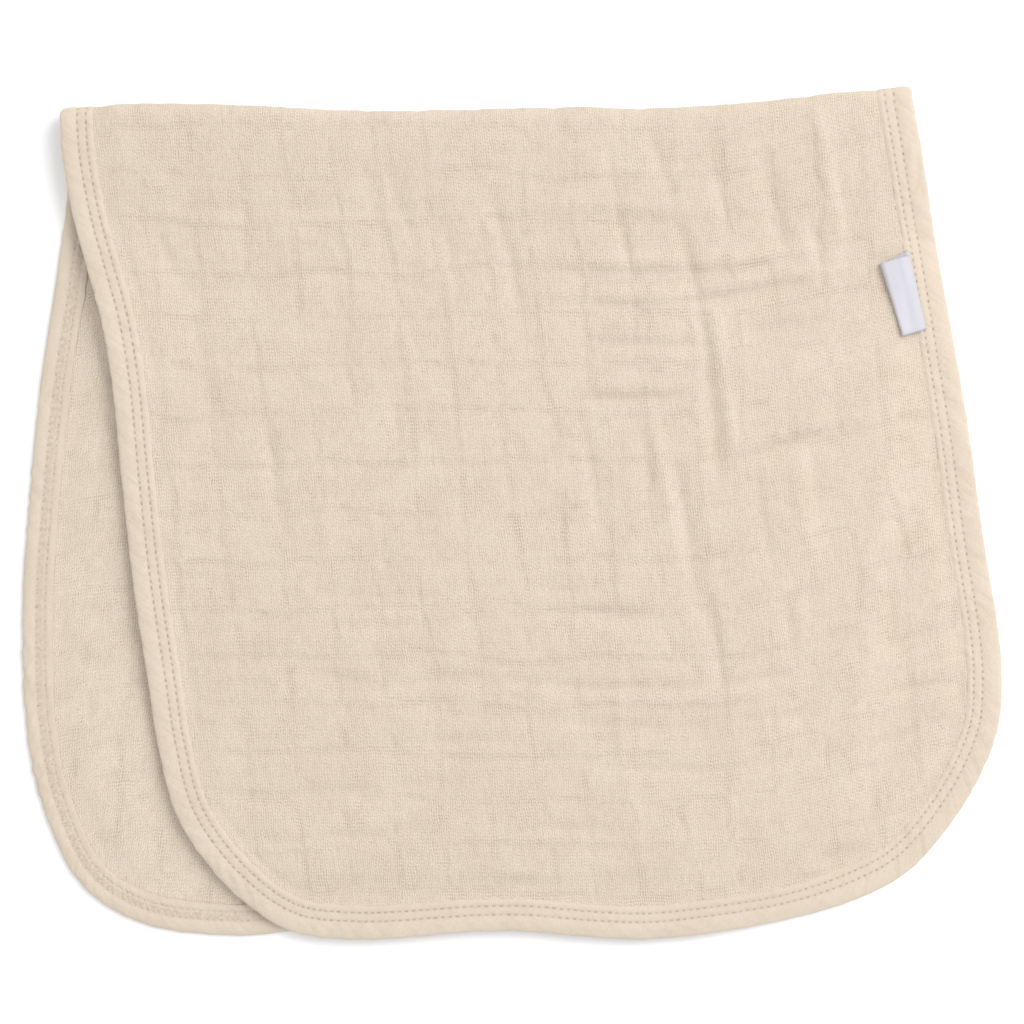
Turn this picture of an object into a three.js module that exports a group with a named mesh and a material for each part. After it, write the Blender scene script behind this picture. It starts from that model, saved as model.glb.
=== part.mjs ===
// A burp cloth of cream muslin gauze, folded once across its middle and laid flat. Flat, it is
// 254 x 508 mm with rounded corners. A bias binding is sewn round its whole edge, and a small loop
// label stands at one side of the upper layer.
//
// Millimetres. +X runs to the right along the fold, +Y points to the fold, and the floor is z = 0.
// The origin lies on the floor, at the middle of the folded cloth's box.

import * as THREE from "three";

// Driving dimensions

const FIELD_THICKNESS = 1.8; // the gauze layers, loosely tacked together
const SEWN_THICKNESS = 1.2; // the same layers where the binding presses them
const BINDING_WIDTH = 10;
const BINDING_WALL = 0.6;
const CLEARANCE = 0.3; // from the cloth to the binding and the label
const FOLD_HEIGHT = 8.6; // outer height of the soft bend
const LAYER_GAP = 1.5; // air between the two layers
const BAND_GAP = 0.6; // air between the two bindings where they cross
const LEAST_GAP = 0.4; // what the deepest trough leaves of either
const LEFT_LIFT = 2.0; // how far the upper layer's left edge stands off the lower layer
const LABEL_WIDTH = 8.6;
const LABEL_LENGTH = 23;
const LABEL_THICKNESS = 0.4;
const LABEL_LOOP = 0.5; // air inside the label's loop
const LABEL_MIDDLE = 69; // Y of the rim at the label's middle

// How the layers settle

const FOLD_REACH = 48; // the upper layer comes down from the bend over this length
const LIFT_REACH = 30; // the left edge's lift fades inwards over this length
const LIFT_FROM_X = -84; // the lift is whole left of this
const LIFT_TO_X = -44; // and gone right of this
const DRAPE_START = 3; // the upper layer starts to come down this far outside the lower one
const DRAPE_END = 17; // and lies on the floor from here
const THICKENING = 8; // the cloth grows from its sewn to its full thickness over this length
const CREASE_NARROWING = 1.6; // how steeply a crease falls off within its half width
const CREASE_END = 0.02; // the share of a crease's length that keeps the rise of its ends

// Mesh

const COLUMNS = 32; // cells across the cloth between the bindings
const UPPER_ROWS = 32; // cells from the bend to the upper layer's lower edge
const LOWER_ROWS = 22;
const BEND_STEPS = 6;
const RELAXING_PASSES = 120;
const CURVE_SAMPLES = 400;

// Derived sizes

const RING = BINDING_WIDTH + 2 * CLEARANCE; // how far in from the rim the sewn band ends
const BAND_HALF = SEWN_THICKNESS / 2 + CLEARANCE + BINDING_WALL; // half of the bound edge's thickness
const FIELD_HALF = FIELD_THICKNESS / 2;

// The rim of the upper layer, from the bend's left end down, along and up to its right end.
// A corner row is the middle of a rounded corner.
const UPPER_RIM = [
  { x: -136.8, y: 118.4 },
  { x: -136.0, y: 106.9 },
  { x: -133.0, y: 89.2 },
  { x: -129.0, y: 74.3 },
  { x: -124.5, y: 58.2 },
  { x: -121.4, y: 40.3 },
  { x: -118.4, y: 9.0 },
  { x: -115.1, y: -20.5 },
  { x: -110.5, y: -51.5 },
  { x: -107.5, y: -71.3 },
  { x: -101.1, y: -93.8 },
  { x: -85.6, y: -114.6, corner: true },
  { x: -67.9, y: -127.2 },
  { x: -47.3, y: -130.0 },
  { x: -10.8, y: -127.6 },
  { x: 3.8, y: -127.5 },
  { x: 25.7, y: -129.4 },
  { x: 43.9, y: -129.8 },
  { x: 84.1, y: -124.2 },
  { x: 105.9, y: -117.8 },
  { x: 120.5, y: -109.9 },
  { x: 131.8, y: -97.9, corner: true },
  { x: 142.4, y: -81.3 },
  { x: 148.4, y: -65.2 },
  { x: 149.4, y: -50.0 },
  { x: 148.2, y: -34.8 },
  { x: 144.2, y: -10.5 },
  { x: 138.2, y: 32.1 },
  { x: 129.4, y: 80.7 },
  { x: 121.1, y: 125.2 },
];

// The rim of the lower layer, the same way round. The upper layer hides it from x = -70 on.
const LOWER_RIM = [
  { x: -136.8, y: 118.4 },
  { x: -135.7, y: 99.0 },
  { x: -138.5, y: 74.6 },
  { x: -143.9, y: 38.2 },
  { x: -147.9, y: -4.4 },
  { x: -149.3, y: -28.0 },
  { x: -148.2, y: -65.2 },
  { x: -143.3, y: -89.5 },
  { x: -131.2, y: -113.9, corner: true },
  { x: -112.9, y: -125.4 },
  { x: -83.8, y: -129.2 },
  { x: -69.2, y: -128.1 },
  { x: -49.1, y: -126.4 },
  { x: -18.7, y: -125.2 },
  { x: 11.7, y: -124.8 },
  { x: 39.1, y: -124.2 },
  { x: 60.3, y: -120.6 },
  { x: 84.2, y: -104.4, corner: true },
  { x: 97.3, y: -80.1 },
  { x: 102.0, y: -51.2 },
  { x: 106.6, y: 3.5 },
  { x: 113.2, y: 64.3 },
  { x: 121.1, y: 125.2 },
];

// The bend's outermost line, from left to right
const FOLD_LINE = [
  { x: -136.8, y: 122.8 },
  { x: -120.0, y: 124.1 },
  { x: -91.0, y: 123.9 },
  { x: -47.3, y: 121.9 },
  { x: -18.0, y: 122.2 },
  { x: 18.4, y: 123.0 },
  { x: 40.3, y: 122.7 },
  { x: 69.5, y: 124.2 },
  { x: 98.6, y: 127.4 },
  { x: 121.1, y: 129.6 },
];

// The upper layer's main creases: each runs from start past middle to end, as a soft trough where its
// rise is negative and a soft ridge where it is positive. halfWidth is how far from its line it fades.
const UPPER_CREASES = [
  { start: [43, 121], middle: [59, 56], end: [67, 0], rise: -0.9, halfWidth: 6 },
  { start: [39, 36], middle: [50, -15], end: [62, -51], rise: 1.0, halfWidth: 7 },
  { start: [49, 12], middle: [55, -27], end: [63, -48], rise: -0.7, halfWidth: 5 },
  { start: [91, 124], middle: [97, 100], end: [103, 78], rise: -0.9, halfWidth: 6 },
  { start: [54, 64], middle: [77, 70], end: [99, 77], rise: -0.9, halfWidth: 6 },
  { start: [70, 56], middle: [84, 59], end: [99, 63], rise: -0.6, halfWidth: 5 },
  { start: [-70, -47], middle: [22, -54], end: [139, -34], rise: -0.8, halfWidth: 7 },
  { start: [-26, -62], middle: [62, -64], end: [140, -48], rise: -0.7, halfWidth: 6 },
  { start: [12, -74], middle: [76, -77], end: [141, -60], rise: -0.7, halfWidth: 6 },
  { start: [-98, -86], middle: [-43, -87], end: [16, -80], rise: -0.7, halfWidth: 6 },
  { start: [-70, -115], middle: [-18, -111], end: [44, -116], rise: 0.8, halfWidth: 7 },
  { start: [60, -104], middle: [90, -104], end: [114, -100], rise: -0.6, halfWidth: 6 },
  { start: [72, 17], middle: [97, 23], end: [127, 31], rise: -0.6, halfWidth: 6 },
  { start: [92, 20], middle: [94, 0], end: [99, -18], rise: -0.8, halfWidth: 6 },
  { start: [-38, 116], middle: [-32, 98], end: [-20, 80], rise: -0.7, halfWidth: 6 },
  { start: [-6, 108], middle: [0, 84], end: [6, 56], rise: -0.6, halfWidth: 6 },
  { start: [27, 118], middle: [32, 98], end: [36, 76], rise: -0.7, halfWidth: 6 },
  { start: [-85, 42], middle: [-80, 14], end: [-79, -16], rise: 0.6, halfWidth: 6 },
  { start: [-100, -37], middle: [-44, -38], end: [16, -34], rise: -0.6, halfWidth: 6 },
];

// The lower layer's creases, which rise from the floor
const LOWER_CREASES = [
  { start: [-140, -20], middle: [-130, -20], end: [-112, -19], rise: 1.0, halfWidth: 6 },
  { start: [-141, -52], middle: [-128, -53], end: [-106, -52], rise: 0.8, halfWidth: 6 },
  { start: [-136, 10], middle: [-129, 12], end: [-112, 13], rise: 0.6, halfWidth: 6 },
];

// Materials

const gauze = new THREE.MeshStandardMaterial({ color: 0xe2d3c0, roughness: 0.95, metalness: 0 });
const binding = new THREE.MeshStandardMaterial({ color: 0xe6d7c3, roughness: 0.92, metalness: 0 });
const labelTape = new THREE.MeshStandardMaterial({ color: 0xf4f3f1, roughness: 0.7, metalness: 0 });
for (const material of [gauze, binding, labelTape]) material.flatShading = true;

// 0 up to low, 1 from high on, and a smooth rise between
function smooth(low, high, value) {
  return THREE.MathUtils.smoothstep(value, low, high);
}

// The smooth curve through a table's rows
function curveThrough(rows) {
  const points = rows.map((row) => new THREE.Vector3(row.x, row.y, 0));
  return new THREE.CatmullRomCurve3(points, false, "centripetal");
}

// Evenly spaced points on a table's curve between two of its rows
function evenPoints(rows, firstRow, lastRow, cells) {
  const curve = curveThrough(rows);
  const samples = [];
  for (let k = 0; k <= CURVE_SAMPLES; k++) {
    const row = firstRow + ((lastRow - firstRow) * k) / CURVE_SAMPLES;
    samples.push(curve.getPoint(row / (rows.length - 1)));
  }
  const lengths = [0];
  for (let k = 1; k < samples.length; k++) {
    lengths.push(lengths[k - 1] + samples[k].distanceTo(samples[k - 1]));
  }
  const points = [];
  let k = 1;
  for (let cell = 0; cell <= cells; cell++) {
    const wanted = (lengths.at(-1) * cell) / cells;
    while (k < lengths.length - 1 && lengths[k] < wanted) k++;
    const share = (wanted - lengths[k - 1]) / (lengths[k] - lengths[k - 1]);
    points.push(samples[k - 1].clone().lerp(samples[k], share));
  }
  return points;
}

// The three sides of a layer's rim, each an even row of stations, and the way inwards at each
function rimStations(rows, sideCells) {
  const corners = rows.flatMap((row, index) => (row.corner ? [index] : []));
  const left = evenPoints(rows, 0, corners[0], sideCells);
  const bottom = evenPoints(rows, corners[0], corners[1], COLUMNS);
  const right = evenPoints(rows, corners[1], rows.length - 1, sideCells);
  const loop = [...left, ...bottom.slice(1), ...right.slice(1)];
  const alongFold = loop.at(-1).clone().sub(loop[0]).normalize();
  return loop.map((rim, k) => {
    if (k === 0) return { rim, inward: alongFold };
    if (k === loop.length - 1) return { rim, inward: alongFold.clone().negate() };
    const travel = loop[k + 1].clone().sub(loop[k - 1]).normalize();
    return { rim, inward: new THREE.Vector3(-travel.y, travel.x, 0) };
  });
}

// The distance from a point to an open rim, and whether the point lies inside the layer
function rimDistance(loop, x, y) {
  let nearest = Infinity;
  let inside = false;
  for (let k = 0; k < loop.length; k++) {
    const a = loop[k].rim;
    const b = loop[(k + 1) % loop.length].rim;
    const closing = k === loop.length - 1;
    const dx = b.x - a.x;
    const dy = b.y - a.y;
    const share = THREE.MathUtils.clamp(((x - a.x) * dx + (y - a.y) * dy) / (dx * dx + dy * dy), 0, 1);
    const distance = Math.hypot(x - a.x - share * dx, y - a.y - share * dy);
    if (!closing && distance < nearest) nearest = distance;
    if (a.y > y !== b.y > y && x < a.x + ((y - a.y) / dy) * dx) inside = !inside;
  }
  return { nearest, inside };
}

// The bend's outermost Y at an x
const foldSamples = curveThrough(FOLD_LINE).getPoints(CURVE_SAMPLES);
function foldLineY(x) {
  let k = 1;
  while (k < foldSamples.length - 1 && foldSamples[k].x < x) k++;
  const a = foldSamples[k - 1];
  const b = foldSamples[k];
  return a.y + ((b.y - a.y) * (x - a.x)) / (b.x - a.x);
}

// The Y of the line about which the cloth bends
function bendAxisY(x) {
  return foldLineY(x) - FOLD_HEIGHT / 2;
}

// What the creases of a table add at a point
function creaseRise(creases, x, y) {
  let total = 0;
  for (const { start, middle, end, rise, halfWidth } of creases) {
    let nearest = Infinity;
    let place = 0;
    for (const [from, to, base] of [[start, middle, 0], [middle, end, 0.5]]) {
      const dx = to[0] - from[0];
      const dy = to[1] - from[1];
      const along = ((x - from[0]) * dx + (y - from[1]) * dy) / (dx * dx + dy * dy);
      const share = THREE.MathUtils.clamp(along, 0, 1);
      const distance = Math.hypot(x - from[0] - share * dx, y - from[1] - share * dy);
      if (distance < nearest) {
        nearest = distance;
        place = base + share / 2;
      }
    }
    const held = THREE.MathUtils.clamp(place, CREASE_END, 1 - CREASE_END);
    const fade = Math.sqrt(Math.sin(Math.PI * held));
    total += rise * fade * Math.exp(-(((CREASE_NARROWING * nearest) / halfWidth) ** 2));
  }
  return total;
}

const upperLoop = rimStations(UPPER_RIM, UPPER_ROWS);
const lowerLoop = rimStations(LOWER_RIM, LOWER_ROWS);

// 0 in the sewn band and 1 in the open field
function fieldShare(loop, x, y) {
  const { nearest } = rimDistance(loop, x, y);
  return smooth(RING, RING + THICKENING, nearest);
}

function cover(share) {
  return BAND_HALF + (FIELD_HALF - BAND_HALF) * share;
}

// The middle of the lower layer's thickness above the floor
function lowerHeight(x, y) {
  const share = fieldShare(lowerLoop, x, y);
  return cover(share) + share * creaseRise(LOWER_CREASES, x, y);
}

// The middle of the upper layer's thickness: it lies on the lower layer, comes down to the floor
// beyond it on the right, stands off it at its left edge, and rises to the bend
function upperHeight(x, y) {
  const own = rimDistance(upperLoop, x, y);
  const share = smooth(RING, RING + THICKENING, own.nearest);
  const below = rimDistance(lowerLoop, x, y);
  const outside = below.inside ? -below.nearest : below.nearest;
  const overBand = 1 - smooth(BINDING_WIDTH, BINDING_WIDTH + THICKENING, -outside);
  const overField = FIELD_THICKNESS + LAYER_GAP;
  const carried = overField + (2 * BAND_HALF + BAND_GAP - overField) * overBand;
  const deepest = LAYER_GAP - LEAST_GAP + (BAND_GAP - LAYER_GAP) * overBand;
  const resting = smooth(DRAPE_START, DRAPE_END, outside);
  const leftness = 1 - smooth(LIFT_FROM_X, LIFT_TO_X, x);
  const lift = LEFT_LIFT * leftness * (1 - smooth(0, LIFT_REACH, own.nearest));
  const creases = Math.max(share * creaseRise(UPPER_CREASES, x, y), -deepest);
  const settled = Math.max(carried * (1 - resting) + lift + creases, 0) + cover(share);
  const nearBend = 1 - smooth(0, FOLD_REACH, bendAxisY(x) - y);
  return settled + (FOLD_HEIGHT - cover(share) - settled) * nearBend;
}

// A layer's grid of plan points inside its sewn band, rows[0] being on the bend's axis
function layerGrid(loop, sideCells) {
  const inner = loop.map(({ rim, inward }) => rim.clone().addScaledVector(inward, RING));
  const left = inner.slice(0, sideCells + 1);
  const bottom = inner.slice(sideCells, sideCells + COLUMNS + 1);
  const right = inner.slice(sideCells + COLUMNS).reverse();
  const top = [];
  for (let i = 0; i <= COLUMNS; i++) {
    const point = left[0].clone().lerp(right[0], i / COLUMNS);
    if (i > 0 && i < COLUMNS) point.y = bendAxisY(point.x);
    top.push(point);
  }
  const rows = [];
  for (let j = 0; j <= sideCells; j++) {
    const v = j / sideCells;
    rows.push([]);
    for (let i = 0; i <= COLUMNS; i++) {
      const u = i / COLUMNS;
      const upAndDown = top[i].clone().lerp(bottom[i], v);
      const acrossIt = left[j].clone().lerp(right[j], u);
      const cornersTop = top[0].clone().lerp(top[COLUMNS], u);
      const cornersBottom = bottom[0].clone().lerp(bottom[COLUMNS], u);
      rows[j].push(upAndDown.add(acrossIt).sub(cornersTop.lerp(cornersBottom, v)));
    }
  }
  relax(rows);
  return rows;
}

// Moves each inner point of a grid towards the middle of its neighbours, which opens the tight
// cells at the rounded corners
function relax(rows) {
  for (let pass = 0; pass < RELAXING_PASSES; pass++) {
    for (let j = 1; j < rows.length - 1; j++) {
      for (let i = 1; i < rows[j].length - 1; i++) {
        const sum = rows[j - 1][i].clone().add(rows[j + 1][i]).add(rows[j][i - 1]).add(rows[j][i + 1]);
        rows[j][i].copy(sum.multiplyScalar(0.25));
      }
    }
  }
}

// A closed solid from a sheet's middle surface: each point is moved along its normal by half its
// thickness to both sides, and the open edge is walled
function thickened(points, quads) {
  const count = points.length;
  const positions = [];
  for (const side of [1, -1]) {
    for (const { middle, normal, half } of points) {
      positions.push(...middle.clone().addScaledVector(normal, side * half));
    }
  }
  const indices = [];
  const edges = new Map();
  for (const [a, b, c, d] of quads) {
    indices.push(a, b, c, a, c, d);
    indices.push(count + a, count + c, count + b, count + a, count + d, count + c);
    for (const [from, to] of [[a, b], [b, c], [c, d], [d, a]]) {
      if (edges.has(to + "," + from)) edges.delete(to + "," + from);
      else edges.set(from + "," + to, [from, to]);
    }
  }
  for (const [from, to] of edges.values()) {
    indices.push(from, count + from, count + to, from, count + to, to);
  }
  const geometry = new THREE.BufferGeometry();
  geometry.setAttribute("position", new THREE.Float32BufferAttribute(positions, 3));
  geometry.setIndex(indices);
  geometry.computeVertexNormals();
  return geometry;
}

// Gives each point that has no normal yet the mean normal of the quads round it
function addNormals(points, quads) {
  const sums = points.map(() => new THREE.Vector3());
  for (const quad of quads) {
    const [a, b, c, d] = quad.map((index) => points[index].middle);
    const normal = c.clone().sub(a).cross(d.clone().sub(b)).normalize();
    for (const index of quad) sums[index].add(normal);
  }
  points.forEach((point, index) => {
    point.normal ??= sums[index].normalize();
  });
}

// The stations of the bound edge: a closed loop round both layers and over the bend's two ends.
// Each has the rim's and the sewn band's inner middle point, and the way across the thickness.
function edgeStations() {
  const raise = (plan, height) => new THREE.Vector3(plan.x, plan.y, height(plan.x, plan.y));
  const layerStations = (loop, height) =>
    loop.map(({ rim, inward }) => ({
      rim: raise(rim, height),
      inner: raise(rim.clone().addScaledVector(inward, RING), height),
    }));
  const upper = layerStations(upperLoop, upperHeight);
  const lower = layerStations(lowerLoop, lowerHeight).reverse();
  const stations = [...upper, ...bendStations(upper.at(-1), lower[0])];
  stations.push(...lower, ...bendStations(lower.at(-1), upper[0]));
  stations.forEach((station, k) => {
    const before = stations.at(k - 1);
    const after = stations[(k + 1) % stations.length];
    const travel = after.rim.clone().sub(before.rim);
    const across = station.inner.clone().sub(station.rim).normalize();
    station.across = across;
    station.normal = travel.cross(across).normalize();
  });
  return stations;
}

// The stations of one end of the bend, between the layers' last stations
function bendStations(from, to) {
  const stations = [];
  for (let step = 1; step < BEND_STEPS; step++) {
    const turn = (Math.PI * step) / BEND_STEPS;
    stations.push({ rim: bent(from.rim, to.rim, turn), inner: bent(from.inner, to.inner, turn) });
  }
  return stations;
}

// A point of the half circle that bends from one layer's point to the other's, standing out to +Y
function bent(from, to, turn) {
  const middle = from.clone().lerp(to, 0.5);
  const radius = from.clone().sub(to).multiplyScalar(0.5);
  const reach = Math.abs(radius.z) * Math.sin(turn);
  return middle.addScaledVector(radius, Math.cos(turn)).add(new THREE.Vector3(0, reach, 0));
}

// The cloth's rows of middle points from the upper layer's lower edge over the bend to the lower
// layer's: the grid inside the sewn band
function clothRows() {
  const raise = (rows, height) =>
    rows.map((row) => row.map((plan) => new THREE.Vector3(plan.x, plan.y, height(plan.x, plan.y))));
  const upper = raise(layerGrid(upperLoop, UPPER_ROWS), upperHeight).reverse();
  const lower = raise(layerGrid(lowerLoop, LOWER_ROWS), lowerHeight);
  const bend = [];
  for (let step = 1; step < BEND_STEPS; step++) {
    const turn = (Math.PI * step) / BEND_STEPS;
    bend.push(upper.at(-1).map((point, i) => bent(point, lower[0][i], turn)));
  }
  return [...upper, ...bend, ...lower];
}

// The indices of a grid's outline, in the order of edgeStations: down the upper layer's left side,
// along its lower edge, up its right side, over the bend, round the lower layer and back
function outlineIndices(rowCount) {
  const at = (row, column) => row * (COLUMNS + 1) + column;
  const indices = [];
  for (let row = UPPER_ROWS; row > 0; row--) indices.push(at(row, 0));
  for (let column = 0; column < COLUMNS; column++) indices.push(at(0, column));
  for (let row = 0; row < rowCount - 1; row++) indices.push(at(row, COLUMNS));
  for (let column = COLUMNS; column > 0; column--) indices.push(at(rowCount - 1, column));
  for (let row = rowCount - 1; row > UPPER_ROWS; row--) indices.push(at(row, 0));
  return indices;
}

// The muslin panel: its grid, and a ring of cells from the grid out to the cloth's own cut edge
function clothGeometry(stations) {
  const rows = clothRows();
  const points = rows.flatMap((row, rowIndex) =>
    row.map((middle) => {
      const loop = rowIndex > UPPER_ROWS + BEND_STEPS / 2 ? lowerLoop : upperLoop;
      const share = fieldShare(loop, middle.x, middle.y);
      return { middle, half: (SEWN_THICKNESS + (FIELD_THICKNESS - SEWN_THICKNESS) * share) / 2 };
    }),
  );
  const quads = [];
  for (let row = 0; row < rows.length - 1; row++) {
    for (let column = 0; column < COLUMNS; column++) {
      const first = row * (COLUMNS + 1) + column;
      quads.push([first, first + 1, first + COLUMNS + 2, first + COLUMNS + 1]);
    }
  }
  const outline = outlineIndices(rows.length);
  outline.forEach((index, k) => {
    points[index].normal = stations[k].normal;
    points[index].middle = stations[k].inner;
    points[index].half = SEWN_THICKNESS / 2;
  });
  const firstCut = points.length;
  for (const { rim, across, normal } of stations) {
    const middle = rim.clone().addScaledVector(across, BINDING_WALL + CLEARANCE);
    points.push({ middle, normal, half: SEWN_THICKNESS / 2 });
  }
  outline.forEach((index, k) => {
    const next = (k + 1) % outline.length;
    quads.push([firstCut + k, firstCut + next, outline[next], index]);
  });
  addNormals(points, quads);
  return thickened(points, quads);
}

// The binding's section: how far in from the rim and how far up from the cloth's middle, from the
// upper wall's inner end round the rim to the lower wall's, and back along the inner faces
function bindingSection() {
  const inside = SEWN_THICKNESS / 2 + CLEARANCE;
  const shoulder = 0.55 * BAND_HALF;
  const nose = 0.12 * BAND_HALF;
  const upperHalf = [
    { inset: BINDING_WIDTH, up: inside },
    { inset: BINDING_WIDTH, up: BAND_HALF },
    { inset: shoulder, up: BAND_HALF },
    { inset: nose, up: shoulder },
  ];
  const mirrored = upperHalf.map(({ inset, up }) => ({ inset, up: -up })).reverse();
  const channel = [
    { inset: BINDING_WALL, up: -inside },
    { inset: BINDING_WALL, up: inside },
  ];
  return [...upperHalf, ...mirrored, ...channel];
}

// The binding: its section swept round the loop of stations. Each cell is split along the same
// diagonal as the cloth's cell beside it, so that the two stay parallel where the edge twists.
function bindingGeometry(stations) {
  const section = bindingSection();
  const positions = stations.flatMap(({ rim, across, normal }) =>
    section.flatMap(({ inset, up }) => [
      ...rim.clone().addScaledVector(across, inset).addScaledVector(normal, up),
    ]),
  );
  const indices = [];
  const around = section.length;
  for (let k = 0; k < stations.length; k++) {
    const here = k * around;
    const next = ((k + 1) % stations.length) * around;
    for (let s = 0; s < around; s++) {
      const t = (s + 1) % around;
      const outwards = section[t].inset < section[s].inset;
      if (outwards) indices.push(here + s, here + t, next + s, here + t, next + t, next + s);
      else indices.push(here + s, here + t, next + t, here + s, next + t, next + s);
    }
  }
  const geometry = new THREE.BufferGeometry();
  geometry.setAttribute("position", new THREE.Float32BufferAttribute(positions, 3));
  geometry.setIndex(indices);
  geometry.computeVertexNormals();
  return geometry;
}

// The label: a tape that runs in from the binding's inner edge over the cloth, turns back over
// itself and ends above its start
function labelGeometry() {
  const lowLeaf = CLEARANCE + LABEL_THICKNESS / 2;
  const highLeaf = lowLeaf + LABEL_THICKNESS + LABEL_LOOP;
  const sewnInset = BINDING_WIDTH + CLEARANCE;
  const foldInset = sewnInset + LABEL_WIDTH;
  const bendRadius = (highLeaf - lowLeaf) / 2;
  const leafCells = 4;
  const turnSteps = 4;
  const path = [];
  for (let cell = 0; cell < leafCells; cell++) {
    path.push({ inset: sewnInset + ((LABEL_WIDTH - bendRadius) * cell) / leafCells, up: lowLeaf });
  }
  for (let step = 0; step <= turnSteps; step++) {
    const turn = (Math.PI * step) / turnSteps;
    path.push({
      inset: foldInset - bendRadius + bendRadius * Math.sin(turn),
      up: (lowLeaf + highLeaf) / 2 - bendRadius * Math.cos(turn),
    });
  }
  for (let cell = leafCells - 1; cell >= 0; cell--) {
    path.push({ inset: sewnInset + ((LABEL_WIDTH - bendRadius) * cell) / leafCells, up: highLeaf });
  }

  const lengthCells = 5;
  const points = [];
  for (let cell = 0; cell <= lengthCells; cell++) {
    const y = LABEL_MIDDLE + LABEL_LENGTH * (cell / lengthCells - 0.5);
    const { rim, inward } = upperStationAt(y);
    for (const { inset, up } of path) {
      const plan = rim.clone().addScaledVector(inward, inset);
      const share = fieldShare(upperLoop, plan.x, plan.y);
      const half = (SEWN_THICKNESS + (FIELD_THICKNESS - SEWN_THICKNESS) * share) / 2;
      const height = upperHeight(plan.x, plan.y) + half + up;
      points.push({ middle: new THREE.Vector3(plan.x, plan.y, height), half: LABEL_THICKNESS / 2 });
    }
  }
  const quads = [];
  for (let cell = 0; cell < lengthCells; cell++) {
    for (let k = 0; k < path.length - 1; k++) {
      const first = cell * path.length + k;
      quads.push([first, first + 1, first + path.length + 1, first + path.length]);
    }
  }
  addNormals(points, quads);
  return thickened(points, quads);
}

// The upper rim's point on the right side at a height y of the plan, and the way inwards there
function upperStationAt(y) {
  let k = UPPER_ROWS + COLUMNS + 1;
  while (upperLoop[k].rim.y < y) k++;
  const before = upperLoop[k - 1];
  const after = upperLoop[k];
  const share = (y - before.rim.y) / (after.rim.y - before.rim.y);
  return {
    rim: before.rim.clone().lerp(after.rim, share),
    inward: before.inward.clone().lerp(after.inward, share).normalize(),
  };
}

function named(name, geometry, material) {
  const mesh = new THREE.Mesh(geometry, material);
  mesh.name = name;
  return mesh;
}

const burpCloth = new THREE.Group();
burpCloth.name = "folded_burp_cloth";
const stations = edgeStations();
burpCloth.add(named("muslin_cloth", clothGeometry(stations), gauze));
burpCloth.add(named("edge_binding", bindingGeometry(stations), binding));
burpCloth.add(named("side_label", labelGeometry(), labelTape));

export default burpCloth;
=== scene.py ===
import math
from collections import namedtuple
from functools import partialmethod

import bpy
import numpy as np
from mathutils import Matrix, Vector


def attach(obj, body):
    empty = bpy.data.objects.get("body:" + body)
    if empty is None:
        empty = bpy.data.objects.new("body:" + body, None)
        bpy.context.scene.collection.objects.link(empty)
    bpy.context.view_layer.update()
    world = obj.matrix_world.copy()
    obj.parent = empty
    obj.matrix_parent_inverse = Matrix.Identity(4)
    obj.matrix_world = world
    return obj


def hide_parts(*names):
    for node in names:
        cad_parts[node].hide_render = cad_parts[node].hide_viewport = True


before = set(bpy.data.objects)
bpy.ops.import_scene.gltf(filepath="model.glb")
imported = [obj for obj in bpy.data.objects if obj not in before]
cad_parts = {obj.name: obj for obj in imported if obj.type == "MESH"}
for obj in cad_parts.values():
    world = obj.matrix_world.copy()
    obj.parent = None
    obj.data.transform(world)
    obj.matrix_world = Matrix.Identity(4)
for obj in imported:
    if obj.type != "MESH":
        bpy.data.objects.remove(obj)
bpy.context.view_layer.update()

# The looks of a cream muslin burp cloth that is folded once and laid flat. Lengths in this script
# are millimetres, as in the part's own frame: +X runs along the fold, +Y points to it, and the floor
# is z = 0. MM turns them into Blender's metres.

MM = 0.001

# The cloth and its binding

FIELD_THICKNESS = 1.8
SEWN_THICKNESS = 1.2
BINDING_WIDTH = 10.0
BAND_HALF = 1.05
FOLD_HEIGHT = 8.6
LAYER_GAP = 1.5
BAND_GAP = 0.6
LEAST_GAP = 0.45
LEFT_LIFT = 1.3
RING = 10.6
FIELD_HALF = FIELD_THICKNESS / 2
SEWN_HALF = SEWN_THICKNESS / 2
CUT_INSET = 1.5
LOOPER_SIDE = 40.0  # how far the binding's other side lies from its needle side in its own map

# How the layers settle

FOLD_REACH = 48.0
LIFT_REACH = 30.0
LIFT_FROM_X = -84.0
LIFT_TO_X = -44.0
DRAPE_START = 3.0
DRAPE_END = 17.0
THICKENING = 8.0
FLOOR_CONTACT = 0.02  # the lowest that anything comes
FLOOR_STAND = 1.1  # how far the open field stands off the floor, so that it can have troughs
CREASE_SHARE = 1.5  # of the rises in the tables of creases
CREASE_NARROWING = 0.8  # of their half widths
GATHERED = 0.95  # how much deeper the creases are on the right, most at the top
TROUGH_INSET = 12.6  # the trough beside the binding
TROUGH_WIDTH = 1.1
TROUGH_DEPTH = 0.22
TROUGH_CHANGE = 0.2
BARE_STRIP = (98.0, 116.0)  # to the left of the middle: where the lower layer begins to lie bare
COVERED_RELIEF = 0.45  # the share of its relief under the upper layer
KEPT_AT_BEND = 0.55  # the share of the upper layer's relief that goes on up the bend
TACK_SHARE = 0.38
CRINKLE_SHARE = 0.28

# The sewing

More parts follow.
